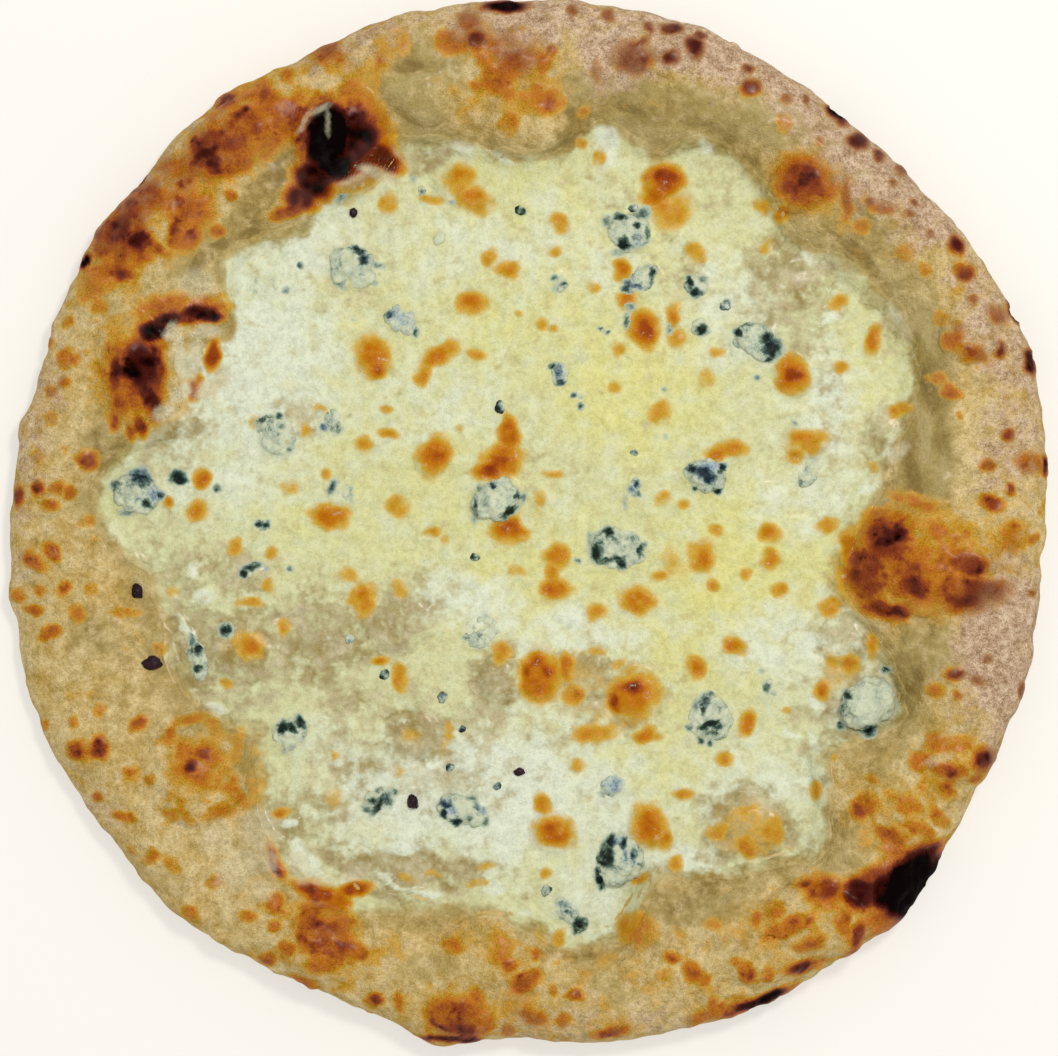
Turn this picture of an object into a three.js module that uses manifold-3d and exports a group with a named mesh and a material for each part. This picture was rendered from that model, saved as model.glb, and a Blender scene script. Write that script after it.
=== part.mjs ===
// A whole, uncut four cheese pizza in the Neapolitan manner, in millimetres.
//
// Seen from above, +X is right, +Y is away and +Z is up. The origin is the middle of the
// flat underside that the pizza rests on. The dough is one solid: a thin base with a puffed,
// blistered rim. The melted cheeses are one layer that lies on the base and laps onto the
// foot of the rim. Each crumble of blue cheese is a solid of its own, half sunk in a pocket
// of that layer. Crumbs and pepper pieces too small for that are fused to what they lie on.

import * as THREE from "three";
import { mergeVertices } from "three/addons/utils/BufferGeometryUtils.js";
import Module from "manifold-3d";

// ---- Driving sizes ----

const RIM_RADIUS = 156; // middle of the rim's outer edge
const RIM_HEIGHT = 18; // crest of the rim above the table
const BELLY_SHARE = 0.42; // height of the rim's widest point, as a share of its crest
const OUTER_HALF_SHARE = 0.42; // crest to outer edge, as a share of the rim's width
const OUTER_HALF_LEAST = 11;
const OUTER_HALF_MOST = 17;
const SLOPE_POWER = 2.2; // how full the rim's inner slope is
const BASE_THICKNESS = 3.6; // dough under the cheese
const CHEESE_THICKNESS = 3.4;
const CHEESE_LAP = 8; // how far the cheese climbs the rim's foot
const CHEESE_EDGE_THICKNESS = 0.9;
const CHEESE_WAVE = 0.55; // rise and fall of the melted surface
const GAP = 0.35; // air left between neighbouring solids
const CRUMBLE_SINK = 1.6; // depth of a crumble's foot below the melted surface
const FINE_CRUMBLE = 4.5; // half length above which a crumble has finer facets
const CRUMB_HEIGHT = 0.75; // height of a fused crumb, as a share of its width
const SPOKES = 120; // steps round the pizza

// Where the outer edge swells or draws in: [direction in degrees, half spread, millimetres].
const EDGE_SWELLS = [
  [303, 24, 4.6],
  [20, 9, 3.2],
  [314, 5, 3.6],
  [84, 22, 0.8],
  [52, 12, -2.2],
  [115, 5, -2],
  [125, 6, 0.8],
  [140, 4, -2.6],
  [163, 16, -2.8],
  [201, 9, 2],
  [226, 10, 1.6],
  [246, 9, -2.2],
  [260, 2.6, 3.2],
  [270, 5, -1.8],
  [356, 4, -1.6],
];

// Where the rim stands taller or lower than RIM_HEIGHT, written as above.
const CREST_SWELLS = [
  [20, 24, 2],
  [75, 22, 1.5],
  [103, 14, 3],
  [138, 20, 2.5],
  [185, 30, -4],
  [228, 22, -1],
  [258, 14, 1.5],
  [300, 22, 4],
  [345, 20, 2],
];

// The melted cheese's outline, as [direction in degrees, radius], with its lobes and bays.
const CHEESE_OUTLINE = [
  [3, 101],
  [9, 110],
  [16, 121],
  [28, 129],
  [37, 125],
  [46, 119],
  [56, 126],
  [64, 129],
  [71, 120],
  [79, 121],
  [88, 108],
  [97, 114],
  [107, 120],
  [117, 116],
  [128, 115],
  [138, 120],
  [146, 107],
  [154, 109],
  [163, 103],
  [170, 122],
  [178, 131],
  [189, 115],
  [200, 116],
  [210, 116],
  [218, 108],
  [228, 122],
  [241, 126],
  [254, 123],
  [266, 114],
  [275, 128],
  [282, 130],
  [290, 115],
  [303, 126],
  [312, 132],
  [323, 112],
  [333, 131],
  [341, 113],
  [348, 96],
  [355, 96],
];

// Blisters of the dough: [x, y, half length, half width, turn in degrees, height].
const DOUGH_BLISTERS = [
  [119, -11, 25, 17, 4, 6.5],
  [-99, -74, 16, 17, 0, 5.5],
  [-55, 112, 15, 18, -20, 5.5],
  [-117, 46, 11, 19, 10, 4.5],
  [1, 119, 15, 11, 0, 4.5],
  [-33, 128, 12, 8, -30, 2.5],
  [82, 102, 10, 9, 60, 4],
  [86, -118, 16, 11, -20, 4.5],
  [113, -86, 15, 9, -35, 3.5],
  [128, -69, 11, 8, -10, 3],
  [36, -120, 10, 9, 0, 4],
  [-10, -128, 19, 11, 8, 4],
  [-60, -126, 13, 11, 0, 3.5],
  [-20, -145, 10, 8, 0, 2.5],
  [70, -130, 13, 7, 10, 2.5],
  [42, 140, 17, 9, -15, 2.5],
  [104, 96, 13, 9, -45, 2.5],
  [132, 57, 10, 9, 80, 3],
  [142, 2, 9, 12, 0, 2.5],
  [-86, 115, 20, 10, 35, 3],
  [-112, 90, 14, 9, 55, 2.5],
  [-143, 10, 8, 9, 0, 2],
  [-144, -12, 8, 8, 0, 2.2],
  [-131, -66, 10, 9, 0, 2.2],
  [-107, -101, 13, 9, -45, 2.2],
];

// Blisters that the melted cheese draws over: written as above.
const CHEESE_BLISTERS = [
  [80, 74, 15, 13, 40, 2.6],
  [110, 24, 9, 10, 0, 1.8],
  [97, -35, 11, 8, 0, 1.6],
  [66, -92, 14, 11, -10, 3.2],
  [33, -52, 9, 9, 0, 2.4],
  [19, -45, 9, 8, 0, 1.6],
  [5, -47, 7, 7, 0, 1.8],
  [-38, -30, 12, 9, 20, 1.6],
  [-8, -47, 7, 8, 0, 1.8],
  [-83, -38, 14, 11, 20, 2],
  [-34, -64, 9, 8, 0, 1.6],
  [-100, -13, 7, 8, 0, 1.4],
  [-18, 100, 10, 6, -10, 1.6],
  [41, 103, 6, 6, 0, 2],
  [80, 44, 6, 7, 30, 1.8],
  [84, 25, 8, 6, 0, 1.8],
  [-28, 20, 6, 7, -25, 1.2],
  [-46, 49, 6, 6, 0, 1.2],
  [8, -93, 8, 7, 0, 1.8],
  [37, -90, 7, 8, 20, 1.6],
];

// Crumbles of blue cheese: [x, y, half length, half width, turn in degrees, standing proud].
const CRUMBLES = [
  [-9, 6.5, 7.6, 6.4, 15, 3.6],
  [27.5, -7.8, 9, 5.8, -8, 2.6],
  [-52, 76.5, 7.4, 6.4, -20, 1.5],
  [-77, 72, 5, 3.8, 10, 1.1],
  [-37.5, 61, 5.2, 4.2, -35, 1.2],
  [-75, 27, 6.2, 5.8, 30, 1.7],
  [-59.5, 30.5, 4.8, 3.8, 10, 1.2],
  [-117, 9, 7.2, 6.2, -20, 3.2],
  [-104.5, 13.6, 2.9, 2.5, 0, 1.4],
  [-56, 8.5, 3.8, 4.4, 10, 1.3],
  [31, 87, 6.4, 5.8, 0, 2.2],
  [34.5, 73, 5.6, 3.8, 40, 1.8],
  [51, 71, 4, 4.2, 0, 1.6],
  [52.5, 58.5, 3.2, 3.1, 0, 1.3],
  [69, 54, 7.2, 5.4, -30, 2.6],
  [9.8, 44.5, 3.2, 4.4, -15, 1.4],
  [15.5, 36.5, 2.9, 3.6, 0, 1.1],
  [53.6, 14.5, 6, 4.9, -10, 3],
  [33, 10.6, 3, 4.2, -20, 1.2],
  [85, 15.5, 3.1, 5, -25, 1.2],
  [-82, -14.5, 4.1, 2.9, 15, 1.3],
  [-89.5, -32, 2.9, 3.2, -20, 1.4],
  [-99, -41, 2.9, 6.2, 12, 1.3],
  [-71, -63, 5.8, 6.2, 0, 1.8],
  [-45, -83.5, 4.4, 3.9, 20, 1.7],
  [-19, -86.5, 7.8, 4.4, -15, 1.9],
  [-14, -32, 5.4, 5.4, 0, 1.1],
  [55.5, -59, 6.8, 7, -30, 3],
  [102, -54, 9.2, 7.4, 35, 6.2],
  [73, -49, 4.4, 4.6, 0, 1.1],
  [26, -79.5, 3.6, 3.6, 0, 1.2],
  [28, -101.5, 7.2, 8, -15, 3.6],
  [13, -117.5, 6, 3.4, -45, 1.5],
  [-79, -0.5, 3, 2.8, 0, 1.2],
  [9.4, 71.5, 2.9, 2.8, 0, 1],
];

// Crumbs that are too small to lift off: [x, y, width].
const BLUE_CRUMBS = [
  [-2, 93.6, 3.6],
  [-31.5, 99.5, 3],
  [-26, 85.5, 4],
  [-8, 34.6, 4],
  [59.5, 65, 3.4],
  [32, 94.5, 3.4],
  [32.4, 21, 2.4],
  [-15.5, -10.5, 3],
  [-25.4, -52.6, 3.4],
  [-42.5, -45.6, 3.6],
  [-23, -73.6, 3],
  [-19.3, -62, 2.4],
  [-8.6, -79, 2.6],
  [6, -110.4, 3.6],
  [-53, -35, 3],
];
const PEPPER_ON_CHEESE = [
  [-34, -84, 4.4],
  [-2.2, -74.8, 3.2],
  [-52, 93, 2.8],
];
const PEPPER_ON_DOUGH = [
  [-116.4, -20.8, 4.6],
  [-112, -42, 5.6],
];

const MATERIALS = {
  crust: { color: 0xc9a468, roughness: 0.85 },
  cheese: { color: 0xe2dfb4, roughness: 0.4 },
  blueCheese: { color: 0xb9c0a4, roughness: 0.55 },
};

// ---- Small helpers ----

const radians = THREE.MathUtils.degToRad;
const clamp = THREE.MathUtils.clamp;

/** Adds up swells written as [direction, half spread, amount] at one direction. */
function swell(list, degrees) {
  return list.reduce((sum, [at, spread, amount]) => {
    const away = ((degrees - at + 540) % 360) - 180;
    return sum + amount * Math.exp(-((away / spread) ** 2));
  }, 0);
}

/** A smooth closed curve through [direction, radius] points, read at one direction. */
function closedCurve(points, degrees) {
  const count = points.length;
  const turn = (degrees + 360) % 360;
  let next = points.findIndex(([at]) => at > turn);
  if (next < 0) next = 0;
  const point = (k) => points[(next + k + count) % count];
  const [before, from, to, after] = [point(-2), point(-1), point(0), point(1)];
  const span = (to[0] - from[0] + 360) % 360;
  const t = ((turn - from[0] + 360) % 360) / span;
  const rise = (to[1] - before[1]) / 2;
  const fall = (after[1] - from[1]) / 2;
  const step = to[1] - from[1];
  return from[1] + t * (rise + t * (3 * step - 2 * rise - fall + t * (rise + fall - 2 * step)));
}

/** The height of the blisters written as [x, y, length, width, turn, height] at a place. */
function blisterHeight(list, x, y) {
  return list.reduce((most, [cx, cy, length, width, turn, height]) => {
    const c = Math.cos(radians(turn));
    const s = Math.sin(radians(turn));
    const along = ((x - cx) * c + (y - cy) * s) / length;
    const across = ((y - cy) * c - (x - cx) * s) / width;
    const inside = 1 - along * along - across * across;
    return inside > 0 ? Math.max(most, height * inside ** 0.75) : most;
  }, 0);
}

/** A gentle, repeatable unevenness between -1 and 1. */
function wave(x, y) {
  return (
    0.5 * Math.sin(0.071 * x + 0.043 * y + 1.3) * Math.sin(0.052 * y - 0.031 * x + 0.4) +
    0.3 * Math.sin(0.137 * x - 0.094 * y + 2.1) +
    0.2 * Math.sin(0.19 * x + 0.21 * y)
  );
}

/**
 * Joins rings of points, from a first middle point to a last one, into a closed mesh. A ring
 * has as many points as the one before it, or half as many. The quads of the first crossed
 * rings are split along their other diagonal.
 */
function closedRings(first, rings, last, crossed = 0) {
  const vertices = [first, ...rings.flat(), last];
  const starts = rings.map((_, i) => 1 + rings.slice(0, i).reduce((sum, r) => sum + r.length, 0));
  const at = (ring, k) => starts[ring] + (k % rings[ring].length);
  const faces = [];
  const end = rings.length - 1;
  rings[0].forEach((_, k) => faces.push(0, at(0, k + 1), at(0, k)));
  for (let ring = 0; ring < end; ring++) {
    const halves = rings[ring + 1].length < rings[ring].length;
    for (let k = 0; k < rings[ring + 1].length; k++) {
      const [c, d] = [at(ring + 1, k + 1), at(ring + 1, k)];
      if (halves) {
        const [a, m, b] = [at(ring, 2 * k), at(ring, 2 * k + 1), at(ring, 2 * k + 2)];
        faces.push(a, m, d, m, c, d, m, b, c);
      } else {
        const [a, b] = [at(ring, k), at(ring, k + 1)];
        if (ring < crossed) faces.push(a, b, d, b, c, d);
        else faces.push(a, b, c, a, c, d);
      }
    }
  }
  rings[end].forEach((_, k) => faces.push(at(end, k), at(end, k + 1), vertices.length - 1));
  const geometry = new THREE.BufferGeometry();
  geometry.setAttribute("position", new THREE.Float32BufferAttribute(vertices.flat(), 3));
  geometry.setIndex(faces);
  return geometry;
}

// ---- The dough ----

const OUTER_TURNS = [-90, -58, -28, 0, 28, 55, 78].map(radians);
const SLOPE_STEPS = [0, 0.22, 0.42, 0.6, 0.76]; // crest to the cheese's edge
const LAP_STEPS = [0, 0.5, 1]; // the cheese's edge to the rim's foot

/** The rim's measures at one direction. */
function rimAt(degrees) {
  const outer = RIM_RADIUS + swell(EDGE_SWELLS, degrees);
  const edge = closedCurve(CHEESE_OUTLINE, degrees);
  const half = clamp((outer - edge) * OUTER_HALF_SHARE, OUTER_HALF_LEAST, OUTER_HALF_MOST);
  const crest = RIM_HEIGHT + swell(CREST_SWELLS, degrees);
  return { outer, half, crest, edge, foot: edge - CHEESE_LAP };
}

/** Height of the rim's inner slope at a radius between its crest and its foot. */
function slopeHeight(rim, radius) {
  const top = rim.outer - rim.half;
  const share = clamp((top - radius) / (top - rim.foot), 0, 1);
  return BASE_THICKNESS + (rim.crest - BASE_THICKNESS) * (1 - share ** SLOPE_POWER);
}

/** The rim's section at one direction, as [radius, height] from the underside to the foot. */
function rimSection(rim) {
  const belly = rim.crest * BELLY_SHARE;
  const outside = OUTER_TURNS.map((turn) => [
    rim.outer - rim.half * (1 - Math.cos(turn)),
    belly + (turn < 0 ? belly : rim.crest - belly) * Math.sin(turn),
  ]);
  const top = rim.outer - rim.half;
  const inside = [
    ...SLOPE_STEPS.map((share) => top + (rim.edge - top) * share),
    ...LAP_STEPS.map((share) => rim.edge - CHEESE_LAP * share),
  ].map((radius) => [radius, slopeHeight(rim, radius)]);
  return [...outside, ...inside];
}

/** Every point of the dough's surface, ring by ring, with the blisters raised. */
function doughRings() {
  const columns = Array.from({ length: SPOKES }, (_, k) => {
    const degrees = (360 * k) / SPOKES;
    const direction = [Math.cos(radians(degrees)), Math.sin(radians(degrees))];
    const rim = rimAt(degrees);
    const section = rimSection(rim);
    return section.map(([radius, height], i) => {
      const [r0, z0] = section[Math.max(i - 1, 0)];
      const [r1, z1] = section[Math.min(i + 1, section.length - 1)];
      const length = Math.hypot(r1 - r0, z1 - z0);
      const [outward, upward] = [(z1 - z0) / length, (r0 - r1) / length];
      const [x, y] = direction.map((d) => d * radius);
      const fade = clamp(height / (rim.crest * BELLY_SHARE) - 0.4, 0, 1);
      const swelling = blisterHeight(DOUGH_BLISTERS, x, y) + CHEESE_WAVE * wave(2 * x, 2 * y);
      const raise = upward > 0 ? swelling * fade : 0;
      const reach = radius + outward * raise;
      return [direction[0] * reach, direction[1] * reach, height + upward * raise];
    });
  });
  return columns[0].map((_, ring) => columns.map((column) => column[ring]));
}

function crustGeometry(rings) {
  return closedRings([0, 0, 0], rings, [0, 0, BASE_THICKNESS]);
}

// ---- The melted cheese ----

// From the rim's foot to the middle, with how many spokes are left at each step.
const CHEESE_STEPS = [
  [0.92, SPOKES],
  [0.84, SPOKES],
  [0.76, SPOKES / 2],
  [0.67, SPOKES / 2],
  [0.57, SPOKES / 2],
  [0.46, SPOKES / 4],
  [0.34, SPOKES / 4],
  [0.2, SPOKES / 8],
];

/** The melted surface's height at a place clear of the rim. */
function meltHeight(x, y) {
  const level = BASE_THICKNESS + GAP + CHEESE_THICKNESS;
  return level + CHEESE_WAVE * wave(x, y) + blisterHeight(CHEESE_BLISTERS, x, y);
}

function cheeseGeometry(rings) {
  const firstLap = OUTER_TURNS.length + SLOPE_STEPS.length;
  const laps = rings.slice(firstLap, firstLap + LAP_STEPS.length);
  const foot = laps.at(-1);
  const onDough = rings.slice(firstLap).map((ring) => ring.map(([x, y, z]) => [x, y, z + GAP]));
  const lapTops = laps.map((ring) =>
    ring.map(([x, y, z]) => [x, y, Math.max(z + GAP + CHEESE_EDGE_THICKNESS, meltHeight(x, y))]),
  );
  lapTops[0] = laps[0].map(([x, y, z]) => [x, y, z + GAP + CHEESE_EDGE_THICKNESS]);
  const tops = CHEESE_STEPS.map(([share, count]) =>
    foot
      .filter((_, k) => k % (SPOKES / count) === 0)
      .map(([x, y]) => [x * share, y * share, meltHeight(x * share, y * share)]),
  );
  const middle = [0, 0, BASE_THICKNESS + GAP];
  const all = [...onDough.reverse(), ...lapTops, ...tops];
  return closedRings(middle, all, [0, 0, meltHeight(0, 0)], onDough.length);
}

// ---- Crumbles and crumbs ----

/** A repeatable number from 0 to 1 for a whole number. */
function chance(n) {
  const x = Math.sin(n * 12.9898 + 78.233) * 43758.5453;
  return x - Math.floor(x);
}

/** A rough lump with half sizes [length, width, height], turned and set with its middle at a place. */
function lump(seed, detail, [length, width, height], turn, [x, y, z]) {
  const geometry = new THREE.IcosahedronGeometry(1, detail);
  geometry.deleteAttribute("normal");
  geometry.deleteAttribute("uv");
  const merged = mergeVertices(geometry);
  const position = merged.getAttribute("position");
  for (let i = 0; i < position.count; i++) {
    const rough = 0.88 + 0.24 * chance(seed * 97 + i);
    position.setXYZ(i, position.getX(i) * rough, position.getY(i) * rough, position.getZ(i) * rough);
  }
  merged.scale(length, width, height);
  merged.rotateZ(radians(turn));
  merged.translate(x, y, z);
  return merged;
}

/** A crumble's lump, larger all round by grow, sitting with its foot sunk in the melted cheese. */
function crumbleLump([x, y, length, width, turn, proud], seed, grow) {
  const half = (proud + CRUMBLE_SINK) / 2;
  const middle = meltHeight(x, y) + proud - half;
  const detail = Math.max(length, width) > FINE_CRUMBLE ? 1 : 0;
  return lump(seed, detail, [length + grow, width + grow, half + grow], turn, [x, y, middle]);
}

/** A crumb lying on a surface whose height at a place is given by a function. */
function crumbLump([x, y, width], seed, surface) {
  const half = width / 2;
  const size = [half, half * 0.8, half * CRUMB_HEIGHT];
  return lump(seed, 0, size, 360 * chance(seed), [x, y, surface(x, y) + half * 0.2]);
}

// ---- Joining and cutting ----

const wasm = await Module();
wasm.setup();

function solidOf(geometry) {
  return new wasm.Manifold(
    new wasm.Mesh({
      numProp: 3,
      vertProperties: new Float32Array(geometry.getAttribute("position").array),
      triVerts: new Uint32Array(geometry.index.array),
    }),
  );
}

function geometryOf(solid) {
  const mesh = solid.getMesh();
  const geometry = new THREE.BufferGeometry();
  geometry.setAttribute("position", new THREE.BufferAttribute(mesh.vertProperties, 3));
  geometry.setIndex(new THREE.BufferAttribute(mesh.triVerts, 1));
  return geometry;
}

/** The height of the rim's slope at a place, for what lies on bare dough. */
function doughHeight(x, y) {
  const rim = rimAt(THREE.MathUtils.radToDeg(Math.atan2(y, x)));
  return slopeHeight(rim, Math.hypot(x, y)) + blisterHeight(DOUGH_BLISTERS, x, y);
}

function fuse(solid, crumbs, firstSeed, surface) {
  return crumbs.reduce(
    (whole, crumb, i) => whole.add(solidOf(crumbLump(crumb, firstSeed + i, surface))),
    solid,
  );
}

function mesh(name, geometry, { color, roughness }) {
  const material = new THREE.MeshStandardMaterial({ color, roughness, metalness: 0 });
  const made = new THREE.Mesh(geometry, material);
  made.name = name;
  return made;
}

const rings = doughRings();
const crust = fuse(solidOf(crustGeometry(rings)), PEPPER_ON_DOUGH, 300, doughHeight);
const pockets = CRUMBLES.map((crumble, i) => solidOf(crumbleLump(crumble, i + 1, GAP)));
const cut = pockets.reduce((layer, pocket) => layer.subtract(pocket), solidOf(cheeseGeometry(rings)));
const cheese = fuse(cut, [...BLUE_CRUMBS, ...PEPPER_ON_CHEESE], 200, meltHeight);

const pizza = new THREE.Group();
pizza.name = "four_cheese_pizza";
pizza.add(mesh("crust", geometryOf(crust), MATERIALS.crust));
pizza.add(mesh("melted_cheese", geometryOf(cheese), MATERIALS.cheese));
CRUMBLES.forEach((crumble, i) => {
  const name = `blue_cheese_${String(i + 1).padStart(2, "0")}`;
  pizza.add(mesh(name, crumbleLump(crumble, i + 1, 0), MATERIALS.blueCheese));
});

export default pizza;
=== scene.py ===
"""A whole four cheese pizza: a blistered, floured rim, melted cheeses and blue crumbles.

Places and sizes are in millimetres in the pizza's own frame until a mesh is made: +X is
right, +Y is away, +Z is up, and the origin is the middle of the underside.
"""

import logging
import math
from dataclasses import dataclass
from enum import Enum
from typing import NamedTuple, Sequence

import bmesh
import bpy
import numpy as np
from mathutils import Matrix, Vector
from mathutils.bvhtree import BVHTree


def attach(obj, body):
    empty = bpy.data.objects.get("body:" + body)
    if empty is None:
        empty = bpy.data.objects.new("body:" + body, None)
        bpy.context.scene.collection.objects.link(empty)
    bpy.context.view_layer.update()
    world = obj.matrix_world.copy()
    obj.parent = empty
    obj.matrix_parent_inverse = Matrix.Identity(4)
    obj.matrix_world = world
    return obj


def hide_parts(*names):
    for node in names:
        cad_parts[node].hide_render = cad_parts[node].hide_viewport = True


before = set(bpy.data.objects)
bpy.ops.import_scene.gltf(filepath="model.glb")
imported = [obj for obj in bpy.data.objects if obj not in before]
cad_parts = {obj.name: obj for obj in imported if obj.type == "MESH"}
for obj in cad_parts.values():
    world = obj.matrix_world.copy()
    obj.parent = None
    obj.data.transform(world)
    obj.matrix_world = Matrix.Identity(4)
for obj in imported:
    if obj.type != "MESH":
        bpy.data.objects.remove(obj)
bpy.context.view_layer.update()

log = logging.getLogger("pizza")

# A millimetre in metres, and what takes a place straight down to the ground.
MM = 0.001
FLAT = (1, 1, 0)
# How much brighter the studio's light shows a finish than its own colour, and the pale sheen
# that it lays over every finish.
LIGHT = 1.2
SHEEN = 0.005
Array = np.ndarray
Socket = bpy.types.NodeSocket
Rows = Sequence[tuple[float, ...]]
RGB = tuple[int, int, int]
Material = bpy.types.Material
Node = bpy.types.Node
NodeTree = bpy.types.NodeTree

# ---- The pizza's own sizes, as in its solids ----

RIM_RADIUS = 156.0
RIM_HEIGHT = 18.0
BELLY_SHARE = 0.42
OUTER_HALF_SHARE = 0.42
OUTER_HALF_LEAST = 11.0
OUTER_HALF_MOST = 17.0
SLOPE_POWER = 2.2
BASE_THICKNESS = 3.6
CHEESE_THICKNESS = 3.4
CHEESE_LAP = 8.0
CHEESE_WAVE = 0.55
GAP = 0.35

# Where the outer edge swells or draws in: (direction in degrees, half spread, millimetres).
EDGE_SWELLS: Rows = (
    (303, 24, 4.6), (20, 9, 3.2), (314, 5, 3.6), (84, 22, 0.8), (52, 12, -2.2), (115, 5, -2),
    (125, 6, 0.8), (140, 4, -2.6), (163, 16, -2.8), (201, 9, 2), (226, 10, 1.6), (246, 9, -2.2),
    (260, 2.6, 3.2), (270, 5, -1.8), (356, 4, -1.6),
)

# Where the rim stands taller or lower.
CREST_SWELLS: Rows = (
    (20, 24, 2), (75, 22, 1.5), (103, 14, 3), (138, 20, 2.5), (185, 30, -4), (228, 22, -1),
    (258, 14, 1.5), (300, 22, 4), (345, 20, 2),
)

# The melted cheese's outline: (direction in degrees, radius).
CHEESE_OUTLINE: Rows = (
    (3, 101), (9, 110), (16, 121), (28, 129), (37, 125), (46, 119), (56, 126), (64, 129), (71, 120),
    (79, 121), (88, 108), (97, 114), (107, 120), (117, 116), (128, 115), (138, 120), (146, 107),
    (154, 109), (163, 103), (170, 122), (178, 131), (189, 115), (200, 116), (210, 116), (218, 108),
    (228, 122), (241, 126), (254, 123), (266, 114), (275, 128), (282, 130), (290, 115), (303, 126),
    (312, 132), (323, 112), (333, 131), (341, 113), (348, 96), (355, 96),
)

# Blisters of the dough: (x, y, half length, half width, turn, height), where a turn of 0 is left
# out, and so is the width of a round one.
DOUGH_BLISTERS: Rows = (
    (119, -11, 25, 17, 4, 6.5), (-99, -74, 16, 17, 5.5), (-55, 112, 15, 18, -20, 5.5),
    (-117, 46, 11, 19, 10, 4.5), (1, 119, 15, 11, 4.5), (-33, 128, 12, 8, -30, 2.5),
    (82, 102, 10, 9, 60, 4), (86, -118, 16, 11, -20, 4.5), (113, -86, 15, 9, -35, 3.5),
    (128, -69, 11, 8, -10, 3), (36, -120, 10, 9, 4), (-10, -128, 19, 11, 8, 4),
    (-60, -126, 13, 11, 3.5), (-20, -145, 10, 8, 2.5), (70, -130, 13, 7, 10, 2.5),
    (42, 140, 17, 9, -15, 2.5), (104, 96, 13, 9, -45, 2.5), (132, 57, 10, 9, 80, 3),
    (142, 2, 9, 12, 2.5), (-86, 115, 20, 10, 35, 3), (-112, 90, 14, 9, 55, 2.5),
    (-143, 10, 8, 9, 2), (-144, -12, 8, 2.2), (-131, -66, 10, 9, 2.2),
    (-107, -101, 13, 9, -45, 2.2),
)

# Blisters that the melted cheese draws over.
CHEESE_BLISTERS: Rows = (
    (80, 74, 15, 13, 40, 2.6), (110, 24, 9, 10, 1.8), (97, -35, 11, 8, 1.6),
    (66, -92, 14, 11, -10, 3.2), (33, -52, 9, 2.4), (19, -45, 9, 8, 1.6), (5, -47, 7, 1.8),
    (-38, -30, 12, 9, 20, 1.6), (-8, -47, 7, 8, 1.8), (-83, -38, 14, 11, 20, 2),
    (-34, -64, 9, 8, 1.6), (-100, -13, 7, 8, 1.4), (-18, 100, 10, 6, -10, 1.6), (41, 103, 6, 2),
    (80, 44, 6, 7, 30, 1.8), (84, 25, 8, 6, 1.8), (-28, 20, 6, 7, -25, 1.2), (-46, 49, 6, 1.2),
    (8, -93, 8, 7, 1.8), (37, -90, 7, 8, 20, 1.6),
)

# ---- What the oven left on it, with painted shade among some marks ----
# Browning is read as: 0.4 yellow, 0.55 golden, 0.7 orange, 0.85 rust, 1.05 brown, 1.5 char.
# Each row is a mark as Spot.read takes it: (x, y, half length, half width, turn, strength).

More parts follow.
